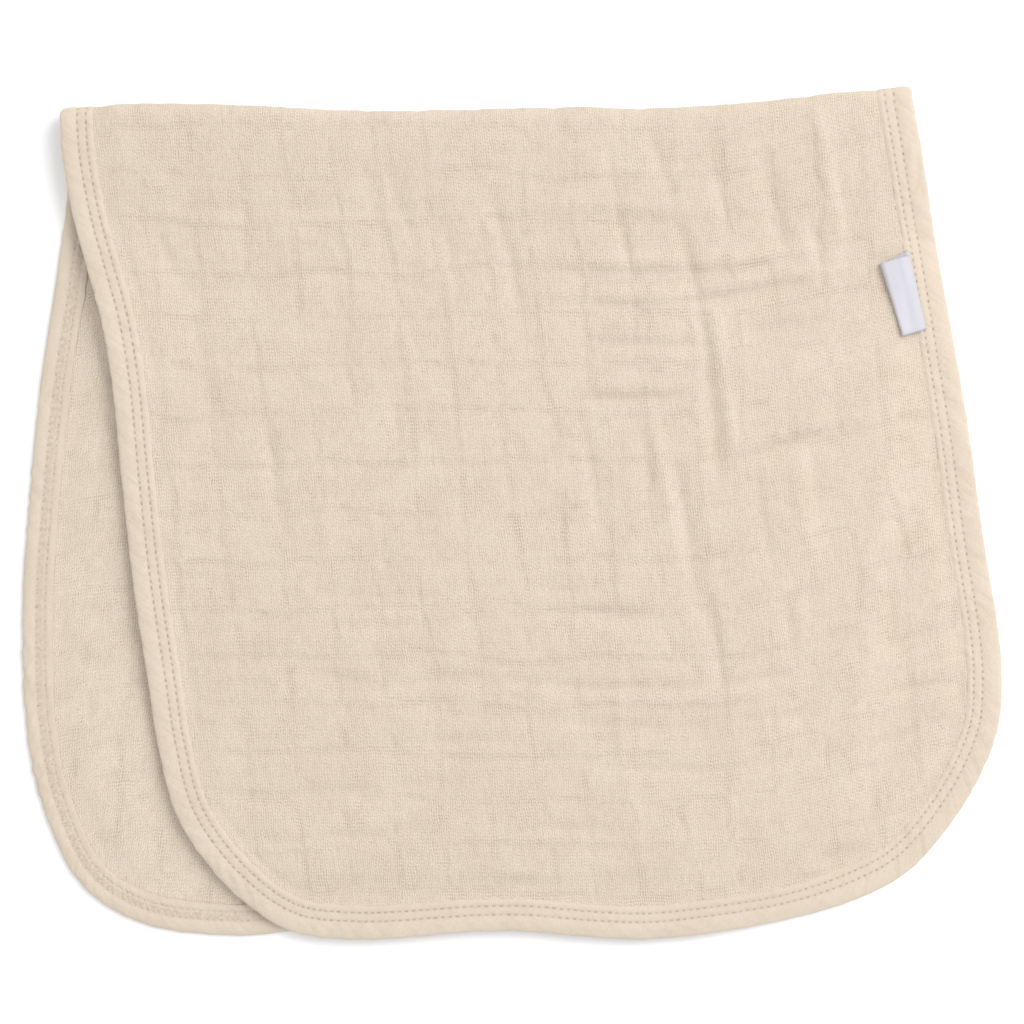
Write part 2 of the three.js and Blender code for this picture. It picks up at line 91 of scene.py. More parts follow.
STITCH = 2.17
ROW_APART = 2.65
ROW_TO_EDGE = 2.3
OUTER_ROW_MIDDLE = 5.1
OUTER_ROW_CHANGE = 0.75 / 135  # the outer row lies further from the rim on the right
ROW_DRIFT = 0.95  # and so much further down the upper layer's left side
DRIFT_STARTS = (45.0, 15.0)  # before the band's end
DRIFT_ENDS = (270.0, 330.0)  # along the band
NOSE = 1.5  # the binding's rim is rounded over this length
NOSE_RISE = 0.84
LOOPER_EDGE = 0.3  # how much prouder the band's inner edge is on its looper side
RIPPLES = 300  # slanting ripples round the whole binding
THREAD_RADIUS = 0.16
LOOPER_RADIUS = 0.11
LONG_STITCH = 1.25  # what shows of a needle stitch on the upper layer's left side
SHORT_STITCH = 0.9  # and elsewhere
LONG_UNTIL = 230.0  # the length along the band up to which the stitches are long
SHORT_FROM = 420.0

# The label

LABEL_WIDTH = 9.3
LABEL_INSET = 9.2  # from the rim to the label's sewn ends, on top of the binding's inner margin
LABEL_TURN = 1.5  # how much nearer to the rim the sewn ends lie at the label's lower corner
LABEL_NARROWING = 1.1  # how much less of the label shows there
LABEL_LENGTH = 23.2
LABEL_MIDDLE = 69.3
LABEL_THICKNESS = 0.35
LABEL_STAND = 0.25  # from the cloth to the middle of the lower leaf
LABEL_OPENING = 0.7  # between its two leaves
LABEL_WIDENING = 0.8  # and so much more at its upper end
LABEL_CELLS = (28, 12, 8)  # along the rim, across a leaf and round the folded end
LABEL_SPREAD = 1.5  # how far the rear leaf's sewn end lies up the rim from the front leaf's
LABEL_SKEW = 0.11  # how far the label's free end slips down the rim for each unit that it stands off

# The weave

WARP_PITCH = 0.685
WEFT_PITCH = 1.0
MEAN_SHADE = 0.27  # of the gauze's material
BACK_TURN = 0.5  # how far the next layer's weave is turned
PAINTED_LIGHTER_SPAN = (135.0, 175.0)  # along the weave: where the lower layer is painted a little lighter than the upper one, as painted light that makes up for its shade
TACK_PITCH = 14.6
TACK_SEED = 100
CRINKLE_SEED = 120
WARP_LEAN = 0.1
LOWER_LEAN = 0.1
WEFT_BEND_X = 68.0
WEFT_RISE = 0.26
WEFT_BEND_LENGTH = 8.0

# Cells of the fine meshes

CLOTH_CELLS = {"columns": 170, "upper": 168, "lower": 90, "bend": 10}
BAND_CELLS = {"columns": 200, "upper": 225, "lower": 222, "bend": 14}
GUIDE_CELLS = {"columns": 96, "upper": 96, "lower": 96, "bend": 2}
AXIS_EASE = 9.0  # over which the top row of a layer's grid comes from the binding to the bend's axis
RELAXING_PASSES = 3000
CURVE_SAMPLES = 1200

# Colours

GAUZE_COLOURS = ((0.631, 0.542, 0.443, 1), (0.645, 0.557, 0.458, 1))
# The lower layer's colour is a little lighter: painted light that makes up for its shade.
PAINTED_LIGHTER_LOWER_COLOUR = (0.668, 0.578, 0.475, 1)
GAUZE_SHADE = (0.36, 0.285, 0.205, 1)
BINDING_COLOURS = ((0.650, 0.556, 0.450, 1), (0.681, 0.588, 0.482, 1))
BINDING_SHADE = (0.30, 0.23, 0.165, 1)
# The needle thread's colours are darker than the looper thread's: painted shade of the grooves it lies in.
NEEDLE_COLOURS = ((0.40, 0.325, 0.25, 1), (0.53, 0.445, 0.355, 1))
LOOPER_COLOURS = ((0.57, 0.485, 0.395, 1), (0.63, 0.54, 0.445, 1))
LABEL_COLOURS = ((0.520, 0.512, 0.553, 1), (0.449, 0.442, 0.480, 1))
LABEL_EDGE_COLOUR = (0.47, 0.463, 0.505, 1)
FLOOR_COLOUR = (0.93, 0.93, 0.93, 1)

# The floor, the camera and the light, whose size and place are in metres

FLOOR_REACH = 4000.0
FLOOR_Z = -0.05
CAMERA_HEIGHT = 739.0
LENS = 85.0
SENSOR_WIDTH = 36.0
LIGHT_SIZE = 1.25
LIGHT_POWER = 25.0
LIGHT_PLACE = (1.2, 0.8, 1.35)
SURROUND_STRENGTH = 0.97

# Tables read from the outline and the creases

# The rim of the upper layer: X and Y, from the bend's left end down, along and up to its right end
UPPER_RIM = [
    (-136.8, 118.4), (-136.0, 106.9), (-133.0, 89.2), (-129.0, 74.3), (-124.5, 58.2), (-121.4, 40.3),
    (-118.4, 9.0), (-115.1, -20.5), (-110.5, -51.5), (-107.5, -71.3), (-101.1, -93.8), (-85.6, -114.6),
    (-67.9, -127.2), (-47.3, -130.0), (-10.8, -127.6), (3.8, -127.5), (25.7, -129.4), (43.9, -129.8),
    (84.1, -124.2), (105.9, -117.8), (120.5, -109.9), (131.8, -97.9), (142.4, -81.3), (148.4, -65.2),
    (149.4, -50.0), (148.2, -34.8), (144.2, -10.5), (138.2, 32.1), (129.4, 80.7), (121.1, 125.2),
]
UPPER_CORNERS = (11, 21)  # the rows at its two corners

# The rim of the lower layer, the same way round
LOWER_RIM = [
    (-136.8, 118.4), (-135.7, 99.0), (-138.5, 74.6), (-143.9, 38.2), (-147.9, -4.4), (-149.3, -28.0),
    (-148.2, -65.2), (-143.3, -89.5), (-131.2, -113.9), (-112.9, -125.4), (-83.8, -129.2), (-69.2, -128.1),
    (-49.1, -126.4), (-18.7, -125.2), (11.7, -124.8), (39.1, -124.2), (60.3, -120.6), (84.2, -104.4),
    (97.3, -80.1), (102.0, -51.2), (106.6, 3.5), (113.2, 64.3), (121.1, 125.2),
]
LOWER_CORNERS = (8, 17)  # the rows at its two corners

# The bend's outermost line, from left to right
FOLD_LINE = [
    (-136.8, 122.8), (-120.0, 124.1), (-91.0, 123.9), (-47.3, 121.9), (-18.0, 122.2), (18.4, 123.0),
    (40.3, 122.7), (69.5, 124.2), (98.6, 127.4), (121.1, 129.6),
]

# Narrow tucks across the bend: X, half width and depth
FOLD_TUCKS = [(-28.0, 1.6, 0.25), (-11.0, 1.5, 0.2), (39.0, 1.8, 0.4), (90.5, 2.2, 0.6), (105.0, 1.8, 0.5)]

# The upper layer's creases: X and Y of the start, the middle and the end, then the rise and the half
# width. Each is a soft trough where its rise is negative and a soft ridge where it is positive.
UPPER_CREASES = [
    # top left
    (-39, 110, -34, 92, -30, 81, -0.8, 6), (-46, 110, -43, 98, -38, 76, -0.5, 5),
    (-23, 90, -20, 83, -16, 64, -0.5, 5), (-8, 98, 0, 76, 3, 55, -0.8, 6),
    (-28, 108, -10, 108, 10, 108, -0.3, 4), (-101, 67, -84, 67, -67, 67, -0.5, 5),
    (-35, 69, -26, 68, -17, 67, -0.5, 5), (-3, 67, -1, 66, 2, 65, -0.3, 4),
    (-110, 90, -105, 79, -100, 67, -0.5, 5), (-121, 93, -110, 49, -105, 23, -0.5, 5),
    (-98, 61, -93, 43, -92, 28, -0.5, 5), (-75, 90, -73, 79, -70, 67, -0.3, 4),
    (-55, 76, -54, 67, -53, 58, -0.5, 5), (-34, 67, -32, 58, -29, 48, -0.5, 5),
    (-75, 29, -72, 13, -69, -3, -0.8, 6), (-93, 17, -89, 15, -84, 13, -0.3, 4),
    (-36, 43, -35, 28, -34, 14, -0.5, 5), (0, 22, 2, 18, 4, 14, -0.3, 4),
    (-101, 92, -64, 92, -25, 91, -0.5, 5),
    # top right
    (13, 122, 14, 117, 15, 113, -0.5, 5), (28, 114, 32, 90, 37, 69, -0.5, 5),
    (41, 116, 45, 105, 48, 95, -0.5, 5), (50, 90, 54, 75, 59, 51, -0.7, 5),
    (59, 51, 61, 28, 63, 10, -0.8, 6), (61, 62, 63, 48, 65, 36, 0.5, 5), (65, 36, 66, 28, 67, 18, 0.5, 5),
    (59, 116, 62, 101, 66, 86, -0.5, 5), (75, 113, 80, 89, 83, 78, -0.8, 6),
    (91, 124, 95, 106, 100, 84, 0.7, 6), (96, 107, 102, 89, 103, 81, -0.8, 6),
    (90, 90, 93, 81, 94, 72, -0.5, 5), (18, 103, 28, 104, 39, 103, 0.25, 4), (6, 93, 31, 93, 57, 92, 0.6, 6),
    (9, 76, 57, 76, 97, 80, 0.6, 6), (3, 66, 51, 66, 73, 69, 0.4, 5), (63, 68, 80, 71, 94, 73, 0.6, 5),
    (54, 64, 73, 67, 91, 71, -1.0, 6), (10, 63, 27, 63, 45, 62, -0.3, 4), (71, 54, 80, 56, 89, 58, -0.8, 6),
    (22, 51, 39, 51, 57, 50, -0.5, 5), (22, 38, 39, 38, 57, 38, 0.4, 5), (19, 35, 33, 34, 51, 35, -0.5, 5),
    (111, 48, 118, 51, 127, 54, -0.8, 5), (112, 38, 119, 40, 126, 41, -0.3, 4),
    (73, 17, 91, 22, 109, 25, -0.9, 5), (109, 25, 120, 28, 130, 31, -0.8, 5),
    (73, 21, 91, 26, 109, 29, 0.4, 4), (107, 10, 117, 14, 126, 20, -0.8, 5),
    (20, 35, 24, 14, 27, -6, -0.5, 5), (41, 34, 45, 16, 51, -15, 0.4, 5), (40, 22, 41, 13, 41, 3, -0.5, 5),
    (50, 14, 54, -9, 56, -30, -0.8, 6), (73, 17, 76, -1, 79, -19, -0.5, 5),
    (91, 20, 94, 3, 96, -13, -1.0, 6), (107, 10, 109, -3, 111, -15, -0.5, 5),
    # bottom right
    (6, -3, 16, -3, 27, -4, -0.3, 4), (6, -23, 18, -24, 30, -23, -0.3, 4),
    (-3, -32, 21, -31, 45, -32, -0.8, 6), (-3, -51, 27, -54, 63, -53, -0.8, 6),
    (63, -53, 76, -51, 88, -49, -0.8, 6), (97, -44, 118, -41, 136, -33, -0.9, 6),
    (15, -56, 45, -57, 76, -55, 0.4, 5), (-3, -62, 42, -66, 69, -64, -0.5, 5),
    (69, -64, 91, -61, 115, -55, -0.7, 5), (115, -55, 128, -53, 139, -50, -0.8, 5),
    (24, -77, 57, -79, 82, -75, -0.8, 5), (82, -75, 103, -73, 124, -66, -0.8, 5),
    (124, -66, 133, -63, 141, -60, -0.7, 5), (-3, -97, 15, -96, 30, -97, -0.5, 5),
    (-3, -113, 4, -113, 12, -113, -0.5, 5), (-7, -110, 3, -110, 12, -110, 0.4, 5),
    (57, -107, 77, -105, 92, -105, -0.8, 5), (92, -105, 104, -104, 115, -102, -0.9, 5),
    (69, -90, 85, -89, 99, -88, -0.5, 5), (59, -27, 62, -41, 64, -51, -0.8, 6),
    (83, -27, 85, -38, 87, -48, -0.8, 6), (114, -21, 115, -31, 116, -41, -0.5, 5),
    (76, -54, 79, -73, 85, -100, 0.25, 4), (30, -33, 35, -82, 40, -118, 0.4, 5),
    (13, -39, 14, -44, 15, -48, 0.25, 4), (76, -33, 76, -39, 76, -45, 0.25, 4),
    # bottom left
    (-73, 10, -71, 0, -68, -9, -0.5, 5), (-58, 10, -57, -7, -55, -24, 0.4, 5),
    (-40, -3, -39, -12, -38, -21, -0.5, 5), (-104, -20, -98, -20, -91, -20, -0.5, 5),
    (-54, -26, -34, -27, -3, -23, -0.5, 5), (-107, -36, -96, -38, -87, -38, -0.5, 5),
    (-64, -35, -34, -35, -3, -32, -0.5, 5), (-110, -39, -83, -39, -55, -39, 0.4, 5),
    (-104, -50, -86, -50, -67, -50, 0.25, 4), (-64, -48, -49, -51, -38, -54, -0.8, 6),
    (-38, -54, -19, -50, -3, -51, -0.8, 6), (-25, -61, -13, -62, 0, -63, -0.5, 5),
    (-55, -72, -28, -70, -3, -69, -0.5, 5), (-96, -85, -73, -87, -58, -85, -0.8, 6),
    (-58, -85, -43, -85, -19, -81, -0.5, 5), (-78, -101, -52, -99, -19, -97, -0.5, 5),
    (-64, -116, -49, -114, -34, -113, -0.5, 5), (-28, -117, -10, -113, 3, -113, -0.5, 5),
    (-83, -97, -76, -107, -67, -115, -0.5, 5),
]

# The lower layer's creases, where the upper layer leaves it bare
LOWER_CREASES = [
    (-140, -20, -131, -20, -121, -20, -0.7, 4), (-138, -24, -138, -27, -138, -31, -0.7, 5),
    (-134, -30, -128, -30, -121, -30, -0.8, 5), (-137, -39, -130, -39, -122, -39, 0.6, 6),
    (-140, -51, -130, -51, -119, -51, 0.55, 5), (-130, -57, -129, -60, -129, -63, -0.8, 5),
    (-140, -7, -131, -6, -122, -7, -0.6, 4), (-137, 19, -131, 18, -125, 18, 0.4, 5),
    (-139, 10, -131, 9, -124, 9, -0.8, 5), (-133, 55, -129, 49, -127, 40, 0.4, 5),
    (-130, 64, -127, 55, -124, 46, -0.9, 5), (-128, -82, -119, -81, -110, -79, -0.7, 5),
    (-125, -97, -116, -95, -105, -94, 0.4, 5),
]


# Curves and noise


def unit(vectors):
    """The same ways, each of length one."""
    return vectors / (np.linalg.norm(vectors, axis=-1, keepdims=True) + 1e-12)


def smooth(low, high, value):
    """0 up to low, 1 from high on, and a smooth rise between."""
    share = np.clip((value - low) / (high - low), 0.0, 1.0)
    return share * share * (3.0 - 2.0 * share)


def soft_max(value, least, softness=0.25):
    """value where it is well above least, and least where it is well below, with a round turn."""
    above = value - least
    return least + (above + np.sqrt(above**2 + softness**2)) / 2


def curve_points(rows, places):
    """Points of the centripetal curve through a table's rows, at row numbers such as 2.5."""
    table = np.array(rows)
    padded = np.vstack([2 * table[0] - table[1], table, 2 * table[-1] - table[-2]])
    first = np.minimum(places.astype(int), len(table) - 2)
    share = (places - first)[:, None]
    a, b, c, d = (padded[first + step] for step in range(4))
    ab = np.linalg.norm(b - a, axis=1, keepdims=True) ** 0.5
    bc = np.linalg.norm(c - b, axis=1, keepdims=True) ** 0.5
    cd = np.linalg.norm(d - c, axis=1, keepdims=True) ** 0.5
    leaving = ((b - a) / ab - (c - a) / (ab + bc) + (c - b) / bc) * bc
    arriving = ((c - b) / bc - (d - b) / (bc + cd) + (d - c) / cd) * bc
    square = 3 * (c - b) - 2 * leaving - arriving
    cube = 2 * (b - c) + leaving + arriving
    return b + leaving * share + square * share**2 + cube * share**3


def arc_lengths(points):
    """How far along a line each of its points lies."""
    steps = np.linalg.norm(np.diff(points, axis=0), axis=1)
    return np.concatenate([[0.0], np.cumsum(steps)])


def even_points(rows, first_row, last_row, cells):
    """Evenly spaced points on a table's curve between two of its rows."""
    samples = curve_points(rows, np.linspace(first_row, last_row, CURVE_SAMPLES + 1))
    lengths = arc_lengths(samples)
    wanted = np.linspace(0, lengths[-1], cells + 1)
    return np.stack([np.interp(wanted, lengths, samples[:, axis]) for axis in (0, 1)], axis=1)


def noise(x, y, size, seed):
    """Smooth random values from -1 to 1 over the plan, in patches of one size."""
    lattice = np.random.default_rng(seed).uniform(-1, 1, (128, 128))
    column = np.asarray(x) / size + 64.0
    row = np.asarray(y) / size + 64.0
    left = np.floor(column).astype(int)
    low = np.floor(row).astype(int)
    across = smooth(0, 1, column - left)
    up = smooth(0, 1, row - low)
    near, far = left % 128, (left + 1) % 128
    bottom = lattice[low % 128, near] * (1 - across) + lattice[low % 128, far] * across
    top = lattice[(low + 1) % 128, near] * (1 - across) + lattice[(low + 1) % 128, far] * across
    return bottom * (1 - up) + top * up


# Rims and heights

Rim = namedtuple("Rim", "points inward")


def rim_stations(rows, corners, side_cells, bottom_cells):
    """The three sides of a layer's rim, each an even row of stations, and the way inwards at each."""
    left = even_points(rows, 0, corners[0], side_cells)
    bottom = even_points(rows, corners[0], corners[1], bottom_cells)
    right = even_points(rows, corners[1], len(rows) - 1, side_cells)
    points = np.vstack([left, bottom[1:], right[1:]])
    travel = unit(np.gradient(points, axis=0))
    inward = np.stack([-travel[:, 1], travel[:, 0]], axis=1)
    fold = np.array(FOLD_LINE)
    along_fold = unit(np.array([fold[1] - fold[0], fold[-2] - fold[-1]]))
    station = np.arange(len(points))
    turning = 1 - smooth(0, 6, np.minimum(station, station[::-1]))
    ends = np.where(station[:, None] < side_cells, along_fold[0], along_fold[1])
    inward += turning[:, None] * (ends - inward)
    return Rim(points, unit(inward))


def both_rims(cells):
    """The stations of the upper and the lower layer's rim, for a mesh of so many cells."""
    upper = rim_stations(UPPER_RIM, UPPER_CORNERS, cells["upper"], cells["columns"])
    lower = rim_stations(LOWER_RIM, LOWER_CORNERS, cells["lower"], cells["columns"])
    return upper, lower


def rim_distance(rim, x, y):
    """How far points lie from an open rim, and whether they lie inside the layer."""
    start = rim.points
    end = np.roll(start, -1, axis=0)
    step = end - start
    nearest = np.empty(len(x))
    inside = np.empty(len(x), bool)
    for first in range(0, len(x), 4000):
        part = slice(first, first + 4000)
        dx = x[part, None] - start[:, 0]
        dy = y[part, None] - start[:, 1]
        share = np.clip((dx * step[:, 0] + dy * step[:, 1]) / (step**2).sum(axis=1), 0, 1)
        away = np.hypot(dx - share * step[:, 0], dy - share * step[:, 1])
        nearest[part] = away[:, :-1].min(axis=1)
        spans = (start[:, 1] > y[part, None]) != (end[:, 1] > y[part, None])
        slope = step[:, 0] / np.where(step[:, 1] == 0, 1e-9, step[:, 1])
        inside[part] = (spans & (dx < dy * slope)).sum(axis=1) % 2 == 1
    return nearest, inside


upper_guide, lower_guide = both_rims(GUIDE_CELLS)
fold_samples = curve_points(FOLD_LINE, np.linspace(0, len(FOLD_LINE) - 1, CURVE_SAMPLES))


def bend_axis_y(x):
    """The Y of the line about which the cloth bends."""
    return np.interp(x, fold_samples[:, 0], fold_samples[:, 1]) - FOLD_HEIGHT / 2


def thread_place(x, y):
    """Where a point of the upper layer lies across the warp and along it, in the woven cloth."""
    across = x + WARP_LEAN * y
    bend = WEFT_BEND_LENGTH * np.logaddexp(0, (x - WEFT_BEND_X) / WEFT_BEND_LENGTH)
    return across, y - WEFT_RISE * bend


def lower_thread_place(x, y):
    """The same for the lower layer, which follows on round the bend."""
    axis = bend_axis_y(x)
    across, along = thread_place(x, axis)
    return across + LOWER_LEAN * (axis - y), along + FOLD_HEIGHT / 2 * math.pi + axis - y


def crease_rise(creases, x, y):
    """What the creases of a table add at points, with the cloth puffed up beside each."""
    total = np.zeros(len(x))
    for index, (*line, rise, half_width) in enumerate(creases):
        nearest = np.full(len(x), np.inf)
        place = np.zeros(len(x))
        for start, end, base in ((line[:2], line[2:4], 0.0), (line[2:4], line[4:], 0.5)):
            dx, dy = end[0] - start[0], end[1] - start[1]
            along = ((x - start[0]) * dx + (y - start[1]) * dy) / (dx * dx + dy * dy)
            share = np.clip(along, 0, 1)
            distance = np.hypot(x - start[0] - share * dx, y - start[1] - share * dy)
            closer = distance < nearest
            nearest = np.where(closer, distance, nearest)
            place = np.where(closer, base + share / 2, place)
        fade = np.sqrt(np.sin(np.pi * np.clip(place, 0.02, 0.98)))
        wander = 1 + 0.35 * noise(x, y, 9.0, 40 + index)
        spread = nearest / (CREASE_NARROWING * half_width)
        sharp = np.sqrt(spread**2 + 0.03) - 0.17
        shape = np.exp(-2.4 * sharp) - 0.3 * np.exp(-((0.9 * spread) ** 2))
        total += rise * fade * wander * shape
    return total * (1 + GATHERED * smooth(0, 40, x) * smooth(-110, 30, y))


def tack_place(across, along, seed):
    """Which column and row of the windowpane of tacks a place in the weave lies in."""
    wide, narrow = 2.2 * noise(across, along, 23.0, seed), 0.8 * noise(across, along, 7.0, seed + 1)
    column = (across + wide + narrow) / TACK_PITCH
    wide, narrow = 2.2 * noise(across, along, 25.0, seed + 2), 0.8 * noise(across, along, 8.0, seed + 3)
    return column, (along + wide + narrow) / TACK_PITCH


def tacked_relief(across, along, seed):
    """The windowpane of tacks that holds the gauze layers together: low pillows of uneven height
    between long lines, each a ridge and a trough side by side, that waver and come and go."""
    column, row = tack_place(across, along, seed)
    pillow = np.sqrt(np.abs(np.sin(np.pi * column) * np.sin(np.pi * row)) + 0.02)
    relief = (0.30 + 0.24 * noise(across, along, 17.0, seed + 4)) * pillow
    column_strength = 0.30 + 0.42 * noise(across, along / 3.5, 11.0, seed + 5)
    row_strength = 0.40 + 0.45 * noise(across / 4.5, along, 11.0, seed + 6)
    for place, strength in ((column, column_strength), (row, row_strength)):
        off = (place - np.round(place)) * TACK_PITCH
        ridge = np.exp(-(((off - 0.8) / 1.05) ** 2))
        trough = np.exp(-(((off + 0.8) / 1.05) ** 2))
        relief = relief + np.maximum(strength, 0) * (ridge - 0.9 * trough)
    return relief


def crinkle(across, along, seed):
    """The fine uneven pleats of washed gauze, mostly along the warp."""
    pleats = 0.08 * noise(across, along / 5.0, 2.9, seed)
    pleats = pleats + 0.09 * noise(across, along / 3.0, 4.6, seed + 1)
    ripples = 0.14 * noise(across / 4.0, along, 3.2, seed + 2)
    ripples = ripples + 0.16 * noise(across / 3.0, along, 5.6, seed + 5)
    swell = 0.10 * noise(across, along, 19.0, seed + 3) + 0.24 * noise(across, along, 41.0, seed + 4)
    return pleats + ripples + swell


def full_relief(creases, x, y, across, along):
    """The listed creases, the tacks between the gauze layers and the fine crinkle."""
    relief = CREASE_SHARE * crease_rise(creases, x, y)
    relief = relief + TACK_SHARE * tacked_relief(across, along, TACK_SEED)
    return relief + CRINKLE_SHARE * crinkle(across, along, CRINKLE_SEED)


def half_thickness(nearest):
    """Half of the cloth's thickness, at a distance from its rim."""
    return SEWN_HALF + (FIELD_HALF - SEWN_HALF) * smooth(RING, RING + THICKENING, nearest)


def cover(share):
    """From a layer's underside to the middle of its thickness, from the band to the open field."""
    return BAND_HALF + (FIELD_HALF - BAND_HALF) * share


def lower_height(x, y):
    """The middle of the lower layer's thickness above the floor."""
    nearest, _ = rim_distance(lower_guide, x, y)
    share = smooth(RING - 0.6, RING + THICKENING, nearest)
    relief = full_relief(LOWER_CREASES, x, y, *lower_thread_place(x, y))
    bare = smooth(*BARE_STRIP, -x)
    strength = (COVERED_RELIEF + bare) * smooth(0, 12, 118 - y)
    return cover(share) + share * strength * soft_max(relief + 0.1 + 0.3 * bare, 0)


def edge_trough(x, y, nearest):
    """The uneven trough that runs beside the binding's inner edge."""
    depth = TROUGH_DEPTH + TROUGH_CHANGE * noise(x, y, 12.0, 61)
    return depth * np.exp(-(((nearest - TROUGH_INSET) / TROUGH_WIDTH) ** 2))


def upper_height(x, y):
    """The middle of the upper layer's thickness: it lies on the lower layer, comes down to the floor
    beyond it on the right, stands off it at its left edge, and rises to the bend."""
    nearest, _ = rim_distance(upper_guide, x, y)
    share = smooth(RING - 0.6, RING + THICKENING, nearest)
    below, inside = rim_distance(lower_guide, x, y)
    outside = np.where(inside, -below, below)
    over_band = 1 - smooth(BINDING_WIDTH, BINDING_WIDTH + THICKENING, -outside)
    over_field = FIELD_THICKNESS + LAYER_GAP
    carried = over_field + (2 * BAND_HALF + BAND_GAP - over_field) * over_band
    resting = smooth(DRAPE_START, DRAPE_END, outside)
    deepest = LAYER_GAP - LEAST_GAP + (BAND_GAP - LAYER_GAP) * over_band + FLOOR_STAND * resting
    leftness = 1 - smooth(LIFT_FROM_X, LIFT_TO_X, x)
    edge_wave = 1 + 0.35 * noise(x, y, 31.0, 7)
    edge_wave = edge_wave + 0.8 * np.exp(-(((y - 62) / 30) ** 2)) - 0.8 * smooth(30, 75, -y)
    lift = LEFT_LIFT * leftness * (1 - smooth(0, LIFT_REACH, nearest)) * edge_wave
    relief = full_relief(UPPER_CREASES, x, y, *thread_place(x, y))
    relief = share * (relief - 0.15) - edge_trough(x, y, nearest)
    relief = soft_max(relief, -deepest)
    settled = soft_max(carried * (1 - resting) + FLOOR_STAND * resting * share + lift + relief, 0, 0.15)
    settled = settled + cover(share)
    near_bend = 1 - smooth(0, FOLD_REACH, bend_axis_y(x) - y)
    kept = KEPT_AT_BEND * relief * near_bend
    return settled + (FOLD_HEIGHT - cover(share) - settled) * near_bend + kept


# The bound edge

Band = namedtuple("Band", "rim across normal arc length")


def bent(start, end, turn):
    """A point of the half circle that bends from one layer's point to the other's, out to +Y."""
    middle = (start + end) / 2
    radius = (start - end) / 2
    point = middle + radius * math.cos(turn)
    point[..., 1] += np.abs(radius[..., 2]) * math.sin(turn)
    return point


def raised(plan, height):
    return np.column_stack([plan, height(plan[:, 0], plan[:, 1])])


def band_stations(cells):
    """The stations round both layers and over the bend's two ends, as a closed loop. Each has a rim
    point, the way across the band and the way out of its needle side."""
    upper, lower = both_rims(cells)
    sides = []
    for inset in (0.0, RING):
        top = raised(upper.points + inset * upper.inward, upper_height)
        base = raised(lower.points + inset * lower.inward, lower_height)[::-1]
        turns = [math.pi * step / cells["bend"] for step in range(1, cells["bend"])]
        right = np.array([bent(top[-1], base[0], turn) for turn in turns])
        left = np.array([bent(base[-1], top[0], turn) for turn in turns])
        sides.append(np.vstack([top, right, base, left]))
    rim, inner = sides
    travel = np.roll(rim, -1, axis=0) - np.roll(rim, 1, axis=0)
    across = unit(inner - rim)
    normal = unit(np.cross(travel, across))
    closed = np.vstack([rim, rim[:1]])
    arc = arc_lengths(closed)
    return Band(rim, across, normal, arc[:-1], arc[-1])


def at_arc(band, arc):
    """Rim point, way across and normal of a band at lengths along it."""
    wrapped = np.mod(arc, band.length)
    found = []
    for values in (band.rim, band.across, band.normal):
        closed = np.vstack([values, values[:1]])
        places = np.append(band.arc, band.length)
        found.append(np.stack([np.interp(wrapped, places, closed[:, axis]) for axis in range(3)], axis=-1))
    return found


def outer_row(x, arc, length):
    """How far the outer row of stitches lies from the rim, along a band of that length."""
    place = np.mod(arc, length)
    before, after = DRIFT_STARTS
    drifted = smooth(length - before, length - after, place) + 1 - smooth(*DRIFT_ENDS, place)
    return OUTER_ROW_MIDDLE + OUTER_ROW_CHANGE * x + ROW_DRIFT * drifted


def band_rise(inset, row):
    """How far the binding's face stands off the cloth's middle, at an inset from the rim."""
    round_nose = NOSE_RISE * np.sqrt(np.clip(1 - ((NOSE - inset) / NOSE) ** 2, 0, 1))
    swell = 0.22 * smooth(0.4 * NOSE, 0.55 * row, inset) - 0.16 * smooth(0.6 * row, row, inset)
    rise = np.where(inset < NOSE, round_nose, NOSE_RISE) + swell
    for line in (row, row + ROW_APART):
        rise = rise - 0.11 * np.exp(-(((inset - line) / 0.5) ** 2))
    edge = row + ROW_APART + ROW_TO_EDGE
    return rise - 0.36 * smooth(edge - 1.1, edge, inset)


def edge_ripple(length, arc, inset, row, x, y):
    """The slanting ripples of a bias strip that is eased round an edge of that length, strongest at
    the rim, round the corners and down the lower layer's left side."""
    turn = 2 * math.pi * arc / length
    joined = smooth(0, 20, np.minimum(np.mod(arc, length), length - np.mod(arc, length)))
    wander = 6 * joined * noise(arc, inset * 0, 21.0, 11)
    slope = 1.1 * np.clip(8 * np.sin(turn), -1, 1)
    per_length = 2 * math.pi / length
    slant = per_length * RIPPLES * (arc + slope * inset + wander)
    second = per_length * (RIPPLES // 2 - 7) * (arc - 0.5 * slope * inset + 2 * wander)
    strength = 0.55 + 0.45 * joined * noise(arc, inset * 0, 13.0, 12)
    cornered = 1 + 0.8 * smooth(70, 115, -y) * smooth(40, 90, -x)
    cornered = cornered + 1.0 * smooth(122, 134, -x) * smooth(-80, 0, -y)
    fading = 1 - 0.75 * smooth(0.4 * row, row, inset)
    return (0.13 * np.sin(slant) + 0.15 * np.sin(second)) * strength * cornered * fading


def pucker(arc, inset, row):
    """The small gathers between and beside the stitches."""
    between = np.exp(-(((inset - row - ROW_APART / 2) / 1.9) ** 2))
    gathers = np.sin(2 * math.pi * (arc + 0.7 * inset) / (2 * STITCH))
    return 0.14 * gathers * between * noise(arc, inset, 5.0, 13)


# Meshes


def new_piece(name, points, faces, material, **maps):
    """A smooth-shaded mesh object from points in millimetres and a list or table of faces. Each map
    holds a place for each corner of each face."""
    mesh = bpy.data.meshes.new(name)
    rows = faces if isinstance(faces, list) else faces.tolist()
    mesh.from_pydata((np.asarray(points) * MM).tolist(), [], rows)
    mesh.polygons.foreach_set("use_smooth", [True] * len(mesh.polygons))
    for map_name, places in maps.items():
        layer = mesh.uv_layers.new(name=map_name)
        layer.data.foreach_set("uv", np.asarray(places, np.float32).ravel())
    mesh.update()
    piece = bpy.data.objects.new(name, mesh)
    bpy.context.scene.collection.objects.link(piece)
    mesh.materials.append(material)
    return piece


